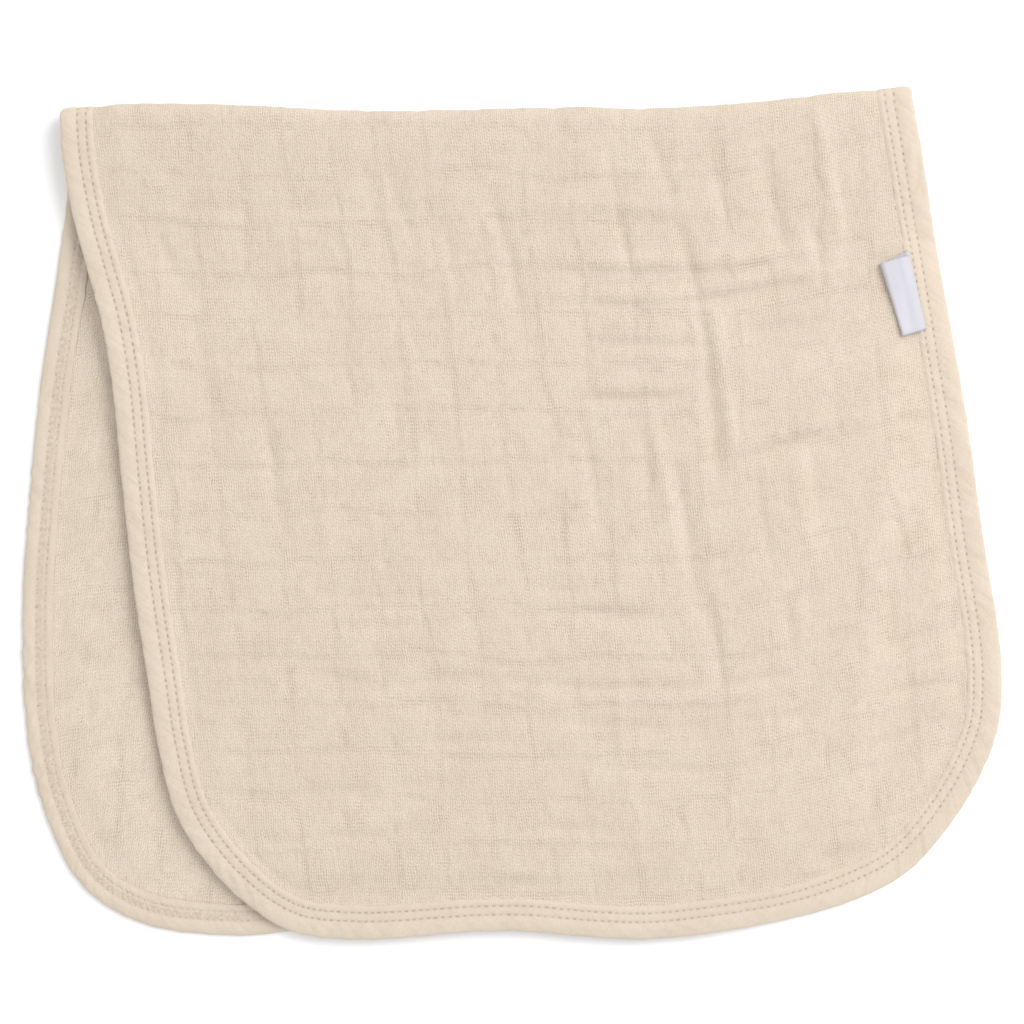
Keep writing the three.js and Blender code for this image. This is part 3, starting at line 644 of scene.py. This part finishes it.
def grid_quads(index):
    """The faces of a grid of point numbers."""
    corners = [index[:-1, :-1], index[:-1, 1:], index[1:, 1:], index[1:, :-1]]
    return np.stack(corners, axis=-1).reshape(-1, 4)


def thickened(middles, normals, halves, quads, outline):
    """The points and faces of a closed sheet round middle points, with a wall along its outline."""
    count = len(middles)
    beside = np.roll(outline, -1)
    wall = np.stack([outline, outline + count, beside + count, beside], axis=-1)
    points = np.vstack([middles + halves * normals, middles - halves * normals])
    return points, np.vstack([quads, quads[:, ::-1] + count, wall])


def layer_grid(rim, side_cells, columns):
    """A layer's grid of plan points inside its sewn band, its first row on the bend's axis."""
    inner = rim.points + RING * rim.inward
    left = inner[: side_cells + 1]
    bottom = inner[side_cells : side_cells + columns + 1]
    right = inner[side_cells + columns :][::-1]
    u = np.linspace(0, 1, columns + 1)[:, None]
    top = left[0] * (1 - u) + right[0] * u
    from_ends = np.minimum(top[:, 0] - left[0][0], right[0][0] - top[:, 0])
    top[:, 1] += (bend_axis_y(top[:, 0]) - top[:, 1]) * smooth(0, AXIS_EASE, from_ends)
    v = np.linspace(0, 1, side_cells + 1)[:, None, None]
    u = u[None]
    grid = top[None] * (1 - v) + bottom[None] * v + left[:, None] * (1 - u) + right[:, None] * u
    grid = grid - (top[0] * (1 - u) + top[-1] * u) * (1 - v) - (bottom[0] * (1 - u) + bottom[-1] * u) * v
    for _ in range(RELAXING_PASSES):
        around = grid[:-2, 1:-1] + grid[2:, 1:-1] + grid[1:-1, :-2] + grid[1:-1, 2:]
        grid[1:-1, 1:-1] = around / 4
    return grid


def outline_places(rows, columns, upper_rows):
    """The outline of a grid as row and column numbers, in the order of the band's stations."""
    last = rows - 1
    places = [(row, 0) for row in range(upper_rows, 0, -1)]
    places += [(0, column) for column in range(columns)]
    places += [(row, columns) for row in range(last)]
    places += [(last, column) for column in range(columns, 0, -1)]
    places += [(row, 0) for row in range(last, upper_rows, -1)]
    return np.array(places)


def fold_ruffle(x):
    """How far the bend stands out past its line: small waves, and the narrow dents of a few tucks."""
    ruffle = 0.16 * noise(x, 0 * x, 6.0, 31) + 0.09 * noise(x, 0 * x, 2.6, 32)
    for place, width, depth in FOLD_TUCKS:
        ruffle = ruffle - depth * np.exp(-(((x - place) / width) ** 2))
    return ruffle


def cloth_surface():
    """The muslin's middle points from the upper layer's lower edge over the bend to the lower
    layer's, and the place of each in the weave."""
    cells = CLOTH_CELLS
    columns = cells["columns"]
    upper_rim, lower_rim = both_rims(cells)
    upper_plan = layer_grid(upper_rim, cells["upper"], columns)
    lower_plan = layer_grid(lower_rim, cells["lower"], columns)
    upper = raised(upper_plan.reshape(-1, 2), upper_height).reshape(*upper_plan.shape[:2], 3)[::-1]
    lower = raised(lower_plan.reshape(-1, 2), lower_height).reshape(*lower_plan.shape[:2], 3)
    turns = [math.pi * step / cells["bend"] for step in range(1, cells["bend"])]
    bend = np.array([bent(upper[-1], lower[0], turn) for turn in turns])
    from_ends = np.minimum(bend[0, :, 0] - bend[0, 0, 0], bend[0, -1, 0] - bend[0, :, 0])
    ruffle = fold_ruffle(bend[0, :, 0]) * smooth(2, 9, from_ends)
    bend[..., 1] += ruffle * np.sin(turns)[:, None]
    upper_threads = np.stack(thread_place(upper[..., 0], upper[..., 1]), axis=-1)
    lower_threads = np.stack(lower_thread_place(lower[..., 0], lower[..., 1]), axis=-1)
    shares = np.array(turns)[:, None, None] / math.pi
    bend_threads = upper_threads[-1] * (1 - shares) + lower_threads[0] * shares
    surface = np.concatenate([upper, bend, lower])
    return surface, np.concatenate([upper_threads, bend_threads, lower_threads])


def make_muslin(material):
    """The folded panel: its grid, and a ring of cells out to its own cut edge inside the binding."""
    surface, threads = cloth_surface()
    rows, columns = surface.shape[:2]
    upper_rows = CLOTH_CELLS["upper"]
    normal = unit(np.cross(np.gradient(surface, axis=1), np.gradient(surface, axis=0)))
    flat = surface.reshape(-1, 3)
    row_number = np.repeat(np.arange(rows), columns)
    nearest_upper, _ = rim_distance(upper_guide, flat[:, 0], flat[:, 1])
    nearest_lower, _ = rim_distance(lower_guide, flat[:, 0], flat[:, 1])
    nearest = np.where(row_number > upper_rows + CLOTH_CELLS["bend"] // 2, nearest_lower, nearest_upper)
    half = half_thickness(nearest).reshape(rows, columns)

    band = band_stations(CLOTH_CELLS)
    places = outline_places(rows, columns - 1, upper_rows)
    normal[places[:, 0], places[:, 1]] = band.normal
    surface[places[:, 0], places[:, 1]] = band.rim + RING * band.across
    half[places[:, 0], places[:, 1]] = SEWN_HALF

    index = np.arange(rows * columns).reshape(rows, columns)
    quads = grid_quads(index)
    middles, normals, halves = [surface.reshape(-1, 3)], [normal.reshape(-1, 3)], [half.ravel()]
    places_in_weave = [threads.reshape(-1, 2)]
    outline = index[places[:, 0], places[:, 1]]
    inside = outline
    for inset in (7.0, 3.5, CUT_INSET):
        ring = np.arange(len(outline)) + sum(len(part) for part in middles)
        middles.append(band.rim + inset * band.across)
        normals.append(band.normal)
        halves.append(np.full(len(outline), SEWN_HALF))
        outward = -(RING - inset) * band.across[:, :2]
        places_in_weave.append(threads[places[:, 0], places[:, 1]] + outward)
        strip = np.stack([ring, np.roll(ring, -1), np.roll(inside, -1), inside], axis=-1)
        quads = np.vstack([quads, strip])
        inside = ring
    middles, normals = np.vstack(middles), np.vstack(normals)
    halves, places_in_weave = np.concatenate(halves)[:, None], np.vstack(places_in_weave)
    points, faces = thickened(middles, normals, halves, quads, inside)
    threads = np.vstack([places_in_weave, places_in_weave])
    tacks = np.stack(tack_place(threads[:, 0], threads[:, 1], TACK_SEED), axis=-1)
    return new_piece("muslin", points, faces, material, threads=threads[faces], tacks=tacks[faces])


def make_binding(band, material):
    """The bias strip that is folded over the whole edge and sewn down with two rows."""
    face_insets = np.concatenate([[0.0, 0.08, 0.3, 0.65, 1.1, 1.7], np.linspace(2.3, 10.0, 20)])
    x, y = band.rim[:, 0], band.rim[:, 1]
    row = outer_row(x, band.arc, band.length)
    joined = smooth(0, 20, np.minimum(band.arc, band.length - band.arc))
    waver = 0.22 * noise(band.arc, 0 * band.arc, 5.5, 21) + 0.12 * noise(band.arc, 0 * band.arc, 2.4, 22)
    waver = waver * joined
    edge = row + ROW_APART + ROW_TO_EDGE + waver
    stretch = edge / face_insets[-1]
    rings, sheet_places = [], []
    inner_face = SEWN_HALF + 0.05
    lines = [(inset, 1, True) for inset in face_insets[::-1]]
    lines += [(inset, -1, True) for inset in face_insets[1:]]
    lines += [(face_insets[-1], -1, False), (CUT_INSET - 0.2, -1, False)]
    lines += [(CUT_INSET - 0.2, 1, False), (face_insets[-1], 1, False)]
    for inset, side, outside in lines:
        own = inset * stretch
        if outside:
            ripple = edge_ripple(band.length, band.arc, own, row, x, y) * smooth(0, 1.2, own)
            rise = band_rise(own, row) + ripple + pucker(band.arc, own, row)
            standing = LOOPER_EDGE * smooth(edge - 1.1, edge, own) if side < 0 else 0
            rise = rise + standing
            least = inner_face + 0.06 - 0.19 * smooth(edge - 1.1, edge, own) + standing
            rise = soft_max(rise, least, 0.02) if inset > CUT_INSET - 0.5 else rise
        else:
            rise = np.full(len(x), inner_face - 0.19 if inset == face_insets[-1] else inner_face)
        wobble = 0.6 * edge_ripple(band.length, band.arc, own * 0, row, x, y) * (1 - smooth(0, 3, own))
        place = band.rim + (own + wobble)[:, None] * band.across
        rings.append(place + (side * rise)[:, None] * band.normal)
        sheet_places.append(np.stack([band.arc, own - row + (0 if side > 0 else LOOPER_SIDE)], axis=-1))
    points = np.stack(rings, axis=1)
    points[..., 2] = soft_max(points[..., 2], FLOOR_CONTACT, 0.05)
    places = np.stack(sheet_places, axis=1)
    stations, around = points.shape[:2]
    index = np.arange(stations * around).reshape(stations, around)
    after = np.roll(index, -1, axis=0)
    beside = np.roll(index, -1, axis=1)
    beside_after = np.roll(after, -1, axis=1)
    faces = np.stack([index, beside, beside_after, after], axis=-1).reshape(-1, 4)
    uv = places.reshape(-1, 2)[faces].reshape(stations, around, 4, 2)
    uv[-1, :, 2:, 0] += band.length
    return new_piece("binding", points.reshape(-1, 3), faces, material, threads=uv)


def capsules(name, centres, ups, sides, radii, ring_corners, material):
    """Many short closed threads as one mesh. centres holds the points along each thread, ups and
    sides two ways square to it, and radii the thread's radius at each point."""
    threads, rings = centres.shape[:2]
    turns = np.linspace(0, 2 * math.pi, ring_corners, endpoint=False)
    circle = np.cos(turns)[:, None] * ups[:, :, None] + np.sin(turns)[:, None] * sides[:, :, None]
    points = centres[:, :, None] + radii[None, :, None, None] * circle
    index = np.arange(threads * rings * ring_corners).reshape(threads, rings, ring_corners)
    beside = np.roll(index, -1, axis=2)
    quads = np.stack([index[:, :-1], beside[:, :-1], beside[:, 1:], index[:, 1:]], axis=-1).reshape(-1, 4)
    caps = [index[:, 0][:, ::-1], index[:, -1]]
    faces = quads.tolist() + caps[0].tolist() + caps[1].tolist()
    return new_piece(name, points.reshape(-1, 3), faces, material)


def threads_on_band(name, band, from_arc, to_arc, from_row, to_row, side, heights, radii, material):
    """Threads that run over the binding's face from one place to another, each place being a length
    along the band and a share of the way from the outer row to the inner one."""
    share = np.linspace(0, 1, len(heights))
    arc = from_arc[:, None] + (to_arc - from_arc)[:, None] * share
    rows = from_row[:, None] + (to_row - from_row)[:, None] * share
    rim, across, normal = at_arc(band, arc)
    row = outer_row(rim[..., 0], arc, band.length)
    inset = row + ROW_APART * rows
    x, y = rim[..., 0], rim[..., 1]
    rise = band_rise(inset, row) + edge_ripple(band.length, arc, inset, row, x, y) + pucker(arc, inset, row)
    up = side * normal
    centres = rim + inset[..., None] * across + (rise + heights)[..., None] * up
    centres[..., 2] = np.maximum(centres[..., 2], FLOOR_CONTACT + radii)
    travel = unit(np.gradient(centres, axis=1))
    sideways = unit(np.cross(travel, up))
    return capsules(name, centres, np.cross(sideways, travel), sideways, radii, 5, material)


def make_needle_threads(band, material):
    """The two rows of stitches on the binding's needle side."""
    count = round(band.length / STITCH)
    pitch = band.length / count
    start = np.tile(np.arange(count) * pitch, 2)
    row = np.repeat([0.0, 1.0], count)
    jitter = 0.08 * np.random.default_rng(5).uniform(-1, 1, (2, 2 * count))
    heights = np.array([-0.24, -0.07, 0.0, 0.0, -0.07, -0.24])
    radii = THREAD_RADIUS * np.array([0.5, 0.95, 1, 1, 0.95, 0.5])
    half = (LONG_STITCH + (SHORT_STITCH - LONG_STITCH) * smooth(LONG_UNTIL, SHORT_FROM, start)) / 2
    middle = start + pitch / 2
    first, last = middle - half + jitter[0], middle + half + jitter[1]
    return threads_on_band("needle_threads", band, first, last, row, row, 1, heights, radii, material)


def make_looper_threads(band, material):
    """The threads that cross between the two rows on the binding's other side."""
    count = round(band.length / STITCH)
    pitch = band.length / count
    start = np.arange(count) * pitch
    jitter = 0.3 * np.random.default_rng(6).uniform(-1, 1, (6, count))
    # Each kind of thread: where along the stitch it starts and ends, and at which of the two rows
    kinds = [
        (0.05, 0.85, 0.0, 1.0),
        (0.5, 1.35, 1.0, 0.0),
        (0.3, 0.6, 0.0, 1.0),
        (0.9, 1.5, 0.9, 0.1),
        (0.1, 0.85, -0.06, -0.06),
        (0.3, 1.1, 1.05, 1.05),
    ]
    first = np.concatenate([start + kind[0] * pitch + jitter[k] for k, kind in enumerate(kinds)])
    last = np.concatenate([start + kind[1] * pitch + jitter[k] for k, kind in enumerate(kinds)])
    from_row = np.repeat([kind[2] for kind in kinds], count)
    to_row = np.repeat([kind[3] for kind in kinds], count)
    heights = np.array([-0.12, -0.01, 0.04, -0.01, -0.12])
    radii = LOOPER_RADIUS * np.array([0.6, 1, 1, 1, 0.6])
    return threads_on_band(
        "looper_threads", band, first, last, from_row, to_row, -1, heights, radii, material
    )


def make_label(band, material):
    """The blank woven tape: folded at its inner end and a little open, with its ends at the binding."""
    rim = upper_guide.points
    right = np.arange(len(rim)) > GUIDE_CELLS["upper"] + GUIDE_CELLS["columns"]
    middle_place = np.interp(LABEL_MIDDLE, rim[right, 1], np.flatnonzero(right))
    lengths = arc_lengths(rim)
    middle_arc = np.interp(middle_place, np.arange(len(rim)), lengths)
    stations, leaf_cells, turn_steps = LABEL_CELLS
    arc = middle_arc + LABEL_LENGTH * np.linspace(-0.5, 0.5, stations)
    base = np.stack([np.interp(arc, lengths, rim[:, axis]) for axis in (0, 1)], axis=1)
    inward = np.stack([np.interp(arc, lengths, upper_guide.inward[:, axis]) for axis in (0, 1)], axis=1)
    inward = inward + LABEL_SKEW * np.stack([-inward[:, 1], inward[:, 0]], axis=1)
    up_the_rim = unit(base[-1] - base[0])
    top_end = np.linspace(0, 1, stations)
    row = outer_row(base[:, 0], arc, band.length)
    points = []
    for k in range(stations):
        opening = LABEL_OPENING + LABEL_WIDENING * smooth(0.3, 1.0, top_end[k])
        low, high = LABEL_STAND, LABEL_STAND + LABEL_THICKNESS + opening
        radius = (high - low) / 2
        sewn_inset = LABEL_INSET - LABEL_TURN * (1 - top_end[k])
        shown = LABEL_WIDTH - LABEL_NARROWING * (1 - top_end[k])
        insets = sewn_inset + (shown - radius) * np.arange(leaf_cells) / leaf_cells
        turn = math.pi * np.arange(turn_steps + 1) / turn_steps
        across = np.concatenate([insets, insets[-1] + radius * (0.6 + np.sin(turn)), insets[::-1]])
        closing = 1 - 0.75 * smooth(3.0, 0.0, insets - sewn_inset)
        sag = 0.25 * np.sin(math.pi * np.arange(leaf_cells) / leaf_cells)
        top_leaf = low + (high - low) * closing - sag
        bend = (low + high) / 2 - radius * np.cos(turn)
        up = np.concatenate([np.full(leaf_cells, low), bend, top_leaf[::-1]])
        over_binding = band_rise(across, row[k]) - SEWN_HALF
        edge = row[k] + ROW_APART + ROW_TO_EDGE
        margin = 1 - smooth(edge - 0.5, edge + 2.5, across)
        spread = np.concatenate([np.linspace(1, 0, leaf_cells), np.zeros(len(across) - leaf_cells)])
        plan = base[k] + across[:, None] * inward[k] + LABEL_SPREAD * spread[:, None] * up_the_rim
        points.append(np.column_stack([plan, up + np.maximum(over_binding, 0) * margin]))
    points = np.vstack(points)
    plan_height = upper_height(points[:, 0], points[:, 1])
    nearest, _ = rim_distance(upper_guide, points[:, 0], points[:, 1])
    points[:, 2] += plan_height + half_thickness(nearest)
    surface = points.reshape(stations, -1, 3)
    around = surface.shape[1]
    normal = unit(np.cross(np.gradient(surface, axis=1), np.gradient(surface, axis=0)))
    flat, normals = surface.reshape(-1, 3), normal.reshape(-1, 3)
    index = np.arange(len(flat)).reshape(stations, around)
    quads = grid_quads(index)
    rim_line = np.concatenate([index[0, :-1], index[:-1, -1], index[-1, :0:-1], index[:0:-1, 0]])
    both, faces = thickened(flat, normals, LABEL_THICKNESS / 2, quads, rim_line)
    tape = arc_lengths(surface[0])
    place = np.stack(np.meshgrid(arc - arc[0], tape, indexing="ij"), axis=-1).reshape(-1, 2)
    return new_piece("label", both, faces, material, threads=np.vstack([place, place])[faces])


# Materials


class Value:
    """A number that a material's nodes work out at each point, for plain arithmetic."""

    def __init__(self, graph, socket):
        self.graph = graph
        self.socket = socket

    def __add__(self, other):
        return self.graph.math("ADD", self, other)

    def __sub__(self, other):
        return self.graph.math("SUBTRACT", self, other)

    def __rsub__(self, other):
        return self.graph.math("SUBTRACT", other, self)

    def __mul__(self, other):
        return self.graph.math("MULTIPLY", self, other)

    def __abs__(self):
        return self.graph.math("ABSOLUTE", self)


class Graph:
    """Short names for building a material's nodes."""

    def __init__(self, name):
        self.material = bpy.data.materials.new(name)
        self.material.use_nodes = True
        self.tree = self.material.node_tree
        self.shader = self.tree.nodes["Principled BSDF"]

    def node(self, kind, **inputs):
        node = self.tree.nodes.new(kind)
        for name, value in inputs.items():
            self.feed(node.inputs[name.replace("_", " ")], value)
        return node

    def feed(self, socket, value):
        if isinstance(value, Value):
            value = value.socket
        if isinstance(value, bpy.types.NodeSocket):
            self.tree.links.new(value, socket)
        else:
            socket.default_value = value

    def math(self, operation, *values):
        node = self.tree.nodes.new("ShaderNodeMath")
        node.operation = operation
        for socket, value in zip(node.inputs, values):
            self.feed(socket, value)
        return Value(self, node.outputs[0])

    larger = partialmethod(math, "MAXIMUM")
    smaller = partialmethod(math, "MINIMUM")
    cosine = partialmethod(math, "COSINE")
    pingpong = partialmethod(math, "PINGPONG")

    def vector(self, operation, first, second):
        node = self.tree.nodes.new("ShaderNodeVectorMath")
        node.operation = operation
        self.feed(node.inputs[0], first)
        self.feed(node.inputs["Scale"] if operation == "SCALE" else node.inputs[1], second)
        return node.outputs[0]

    def noise(self, place, scale, detail=2.0, stretch=(1, 1, 1)):
        """A noise from 0 to 1 whose patches are about 1 / scale across."""
        moved = self.vector("MULTIPLY", place, tuple(scale * part for part in stretch))
        node = self.node("ShaderNodeTexNoise", Vector=moved, Scale=1.0, Detail=detail, Roughness=0.55)
        return Value(self, node.outputs["Fac"])

    def place(self, map_name="threads"):
        """The place on one of the piece's maps: threads is the woven cloth in millimetres."""
        node = self.tree.nodes.new("ShaderNodeUVMap")
        node.uv_map = map_name
        return node.outputs["UV"]

    def ramp(self, value, low, high, start=0.0, end=1.0):
        """start where value is under low, end where it is over high, with a smooth change."""
        node = self.tree.nodes.new("ShaderNodeMapRange")
        node.interpolation_type = "SMOOTHSTEP"
        for socket, number in zip(("From Min", "From Max", "To Min", "To Max"), (low, high, start, end)):
            node.inputs[socket].default_value = number
        self.feed(node.inputs["Value"], value)
        return Value(self, node.outputs[0])

    def fall(self, value, low, high):
        return self.ramp(value, low, high, 1.0, 0.0)

    def mix(self, share, first, second):
        node = self.tree.nodes.new("ShaderNodeMix")
        node.data_type = "RGBA"
        self.feed(node.inputs["Factor"], share)
        self.feed(node.inputs["A"], first)
        self.feed(node.inputs["B"], second)
        return node.outputs["Result"]

    def bump(self, height_mm, strength=1.0):
        node = self.node("ShaderNodeBump", Strength=strength, Distance=MM, Height=height_mm)
        self.tree.links.new(node.outputs["Normal"], self.shader.inputs["Normal"])

    def finish(self, colour, roughness, sheen, specular):
        self.feed(self.shader.inputs["Base Color"], colour)
        self.shader.inputs["Roughness"].default_value = roughness
        self.shader.inputs["Sheen Weight"].default_value = sheen
        self.shader.inputs["Sheen Roughness"].default_value = 0.6
        self.shader.inputs["Specular IOR Level"].default_value = specular
        return self.material


def wave(graph, coordinate, pitch):
    """1 on the middle of each thread and 0 between two, along one coordinate."""
    return graph.cosine(coordinate * (2 * math.pi / pitch)) * 0.5 + 0.5


def split(graph, place):
    node = graph.node("ShaderNodeSeparateXYZ", Vector=place)
    return Value(graph, node.outputs["X"]), Value(graph, node.outputs["Y"])


def wavered(graph, place, scale, reach):
    """A place moved about by a noise, as loosely woven threads waver."""
    node = graph.node("ShaderNodeTexNoise", Vector=place, Scale=scale, Detail=2.0)
    centred = graph.vector("SUBTRACT", node.outputs["Color"], (0.5, 0.5, 0.5))
    return graph.vector("ADD", place, graph.vector("SCALE", centred, reach))


def turned(graph, place, angle):
    return graph.node("ShaderNodeVectorRotate", Vector=place, Angle=angle).outputs[0]


def gauze_layer(graph, place, warp_pitch, weft_pitch):
    """One open plain weave: its height, and how open it is across and along."""
    across, along = split(graph, place)
    warp = wave(graph, across, warp_pitch)
    weft = wave(graph, along, weft_pitch)
    crossing = graph.cosine(across * (math.pi / warp_pitch)) * graph.cosine(along * (math.pi / weft_pitch))
    height = graph.larger(warp * (crossing * 0.35 + 0.62), weft * (crossing * -0.35 + 0.5))
    return height, 1.0 - warp, 1.0 - weft


def tack_lines(graph):
    """1 on the lines of tacks between the gauze layers, and 0 in the open squares."""
    column, row = split(graph, graph.place("tacks"))
    return [graph.fall(graph.pingpong(place, 0.5), 0.02, 0.13) for place in (column, row)]


def muslin_material():
    """Open cream gauze in several layers: wavering threads, small holes darkened both as the next layer seen
    through them and as painted shade in them, lines of tacks with more painted shade in their holes, soft
    pleats between the threads, a slightly uneven colour, and a lower layer painted lighter as painted light."""
    graph = Graph("muslin_gauze")
    place = graph.place()
    wavy = wavered(graph, wavered(graph, place, 0.16, 1.8), 0.6, 0.42)
    height, open_across, open_along = gauze_layer(graph, wavy, WARP_PITCH, WEFT_PITCH)
    back = turned(graph, wavered(graph, place, 0.11, 2.4), BACK_TURN)
    _, back_across, back_along = gauze_layer(graph, back, WARP_PITCH, WEFT_PITCH)

    on_column, on_row = tack_lines(graph)
    patchy = graph.ramp(graph.noise(place, 0.09, 3.0), 0.42, 0.62)
    knots = graph.ramp(graph.noise(place, 0.24, 3.0), 0.52, 0.72)
    # The holes get darker along the tack lines, as painted shade in their troughs, and in random patches.
    tacked = graph.larger(on_column, on_row) * patchy
    hole_shade_depth = graph.larger(knots * 0.9, tacked * 0.8)
    warp_shows = graph.ramp(graph.noise(place, 0.10, 2.0, (1, 0.6, 1)), 0.35, 0.65, 0.6, 1.35)
    weft_shows = graph.ramp(graph.noise(place, 0.13, 2.0, (0.6, 1, 1)), 0.38, 0.70, 0.0, 0.36)
    lines = open_across * warp_shows + open_along * weft_shows
    gaps = open_across * open_along
    # shade darkens the gauze toward GAUZE_SHADE between the threads and in the holes: partly the next layer
    # seen through, partly painted shade.
    shade = lines * 0.235 + gaps * (hole_shade_depth * 0.42 + 0.12) + back_across * back_along * 0.25
    presence = graph.ramp(graph.noise(place, 0.07, 3.0), 0.35, 0.65, 0.72, 1.22)
    shade = (shade - MEAN_SHADE) * presence + MEAN_SHADE
    slubs = graph.noise(place, 1.1, 3.0, (1, 0.25, 1))
    shade = shade + graph.ramp(graph.noise(place, 1.75, 1.0), 0.3, 0.7, 0.13, -0.13)
    shade = shade + graph.ramp(slubs, 0.3, 0.7, 0.07, -0.07)
    shade = graph.larger(graph.smaller(shade, 1.0), 0.0)
    cloudy = graph.ramp(graph.noise(place, 0.03, 3.0), 0.3, 0.7)
    # The lower layer is painted lighter along the weave: painted light.
    _, along = split(graph, place)
    thread = graph.mix(graph.ramp(along, *PAINTED_LIGHTER_SPAN), graph.mix(cloudy, *GAUZE_COLOURS), PAINTED_LIGHTER_LOWER_COLOUR)

    pleats = graph.noise(place, 0.34, 3.0, (1, 0.16, 1))
    ripples = graph.noise(place, 0.34, 3.0, (0.2, 1, 1))
    graph.bump(height * 0.07 + pleats * 0.13 + ripples * 0.20 + slubs * 0.05 - tacked * 0.16)
    return graph.finish(graph.mix(shade, thread, GAUZE_SHADE), 0.95, 0.08, 0.15)


def binding_material(stitch):
    """Bias-cut cotton: a fine weave at forty-five degrees, pressed-in rows of stitches of that pitch with
    painted shade in their grooves, and needle holes and small dimples under the threads of the other side,
    darkened with painted shade."""
    graph = Graph("bias_binding")
    place = graph.place()
    bias = turned(graph, place, math.radians(45))
    height, open_across, open_along = gauze_layer(graph, wavered(graph, bias, 0.3, 0.5), 0.42, 0.46)
    along, from_row = split(graph, place)
    needle_side = graph.fall(from_row, 19.0, 20.0)
    looper_side = 1.0 - needle_side
    own_row = from_row - graph.ramp(from_row, 19.0, 20.0, 0.0, LOOPER_SIDE)
    near_row = graph.smaller(abs(own_row), abs(own_row - ROW_APART))
    from_hole = graph.pingpong(along, stitch / 2)
    ends = ((stitch - length) / 2 for length in (LONG_STITCH, SHORT_STITCH))
    past_gap = from_hole - graph.ramp(along, LONG_UNTIL, SHORT_FROM, *ends)
    varied = graph.ramp(graph.noise(place, 0.4, 2.0), 0.35, 0.65, 0.2, 0.68)
    # Painted shade in the groove round each needle stitch, on the needle side.
    shaded_stitch_groove = graph.ramp(past_gap, -0.2, 0.2) * graph.fall(near_row, 0.12, 0.38) * varied * needle_side
    # Painted shade in the needle holes on the looper side.
    holes = graph.fall(from_hole, 0.25, 0.5) * graph.fall(near_row, 0.15, 0.4) * varied * looper_side
    sewn_zone = graph.fall(abs(own_row - ROW_APART / 2), 1.2, 2.2)
    # Small dimples between the rows on the looper side, darkened below with painted shade.
    dimples = graph.ramp(graph.noise(place, 0.95, 1.0), 0.56, 0.70) * sewn_zone * looper_side
    mottle = graph.ramp(graph.noise(bias, 1.3, 3.0), 0.3, 0.7, 0.10, 0.0)
    # Painted shade along the rows' grooves, mixed toward BINDING_SHADE with the marks above.
    shade = graph.larger(holes * 0.7 + shaded_stitch_groove, graph.ramp(near_row, 0.1, 0.9, 0.07, 0.0))
    shade = graph.smaller(shade + dimples * 0.16 + (open_across + open_along) * 0.10 + mottle, 1.0)
    cloth = graph.mix(graph.ramp(graph.noise(place, 0.05, 3.0), 0.3, 0.7), *BINDING_COLOURS)
    slanting = graph.noise(bias, 0.30, 2.0, (1, 0.25, 1))
    graph.bump(slanting * 0.65 + height * 0.06 - (shaded_stitch_groove + dimples) * 0.12)
    return graph.finish(graph.mix(shade, cloth, BINDING_SHADE), 0.9, 0.08, 0.2)


def thread_material(name, shaded, lit):
    """Twisted sewing thread, mixed along its twist between a painted shaded and a painted lit colour."""
    graph = Graph(name)
    place = graph.tree.nodes.new("ShaderNodeTexCoord").outputs["Object"]
    ply = graph.noise(place, 2600.0, 2.0)
    graph.bump(ply * 0.06)
    return graph.finish(graph.mix(graph.ramp(ply, 0.3, 0.7), shaded, lit), 0.7, 0.05, 0.3)


def label_material():
    """White satin tape with fine ribs and slightly heavier woven edges."""
    graph = Graph("woven_tape")
    place = graph.place()
    along, across = split(graph, place)
    ribs = wave(graph, along, 0.32)
    selvedge = graph.fall(graph.smaller(along, LABEL_LENGTH - along), 0.4, 0.9)
    colour = graph.mix(ribs * wave(graph, across, 0.5) * 0.35, *LABEL_COLOURS)
    colour = graph.mix(selvedge * 0.25, colour, LABEL_EDGE_COLOUR)
    graph.bump(ribs * 0.03 + graph.noise(place, 0.5, 3.0) * 0.10 + selvedge * 0.05)
    return graph.finish(colour, 0.55, 0.05, 0.35)


def floor_material():
    return Graph("pale_floor").finish(FLOOR_COLOUR, 1.0, 0.0, 0.0)


# The scene


def make_floor():
    ways = ((-1, -1), (1, -1), (1, 1), (-1, 1))
    corners = [(x * FLOOR_REACH, y * FLOOR_REACH, FLOOR_Z) for x, y in ways]
    return new_piece("floor", corners, [(0, 1, 2, 3)], floor_material())


def make_camera():
    camera = bpy.data.cameras.new("camera")
    camera.lens = LENS
    camera.sensor_width = SENSOR_WIDTH
    holder = bpy.data.objects.new("camera", camera)
    holder.location = (0, 0, CAMERA_HEIGHT * MM)
    bpy.context.scene.collection.objects.link(holder)
    bpy.context.scene.camera = holder


def make_light():
    """A wide soft light from the upper right, and an even pale surround."""
    lamp = bpy.data.lights.new("softbox", "AREA")
    lamp.shape = "SQUARE"
    lamp.size = LIGHT_SIZE
    lamp.energy = LIGHT_POWER
    holder = bpy.data.objects.new("softbox", lamp)
    holder.location = LIGHT_PLACE
    holder.rotation_euler = (Vector((0, 0, 0)) - holder.location).to_track_quat("-Z", "Y").to_euler()
    bpy.context.scene.collection.objects.link(holder)
    world = bpy.data.worlds.new("surround")
    world.use_nodes = True
    surround = world.node_tree.nodes["Background"].inputs
    surround["Color"].default_value = (1, 1, 1, 1)
    surround["Strength"].default_value = SURROUND_STRENGTH
    bpy.context.scene.world = world


band = band_stations(BAND_CELLS)
stitch_pitch = band.length / round(band.length / STITCH)

muslin = make_muslin(muslin_material())
binding = make_binding(band, binding_material(stitch_pitch))
needle_thread = thread_material("needle_thread", *NEEDLE_COLOURS)
looper_thread = thread_material("looper_thread", *LOOPER_COLOURS)
needle_threads = make_needle_threads(band, needle_thread)
looper_threads = make_looper_threads(band, looper_thread)
label = make_label(band, label_material())

for piece, slot in (
    (muslin, "muslin"),
    (binding, "binding"),
    (needle_threads, "binding"),
    (looper_threads, "binding"),
    (label, "label"),
):
    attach(piece, "root")
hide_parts("muslin_cloth")
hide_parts("edge_binding")
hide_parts("side_label")

make_floor()
make_camera()
make_light()
bpy.context.scene.view_settings.view_transform = "Standard"
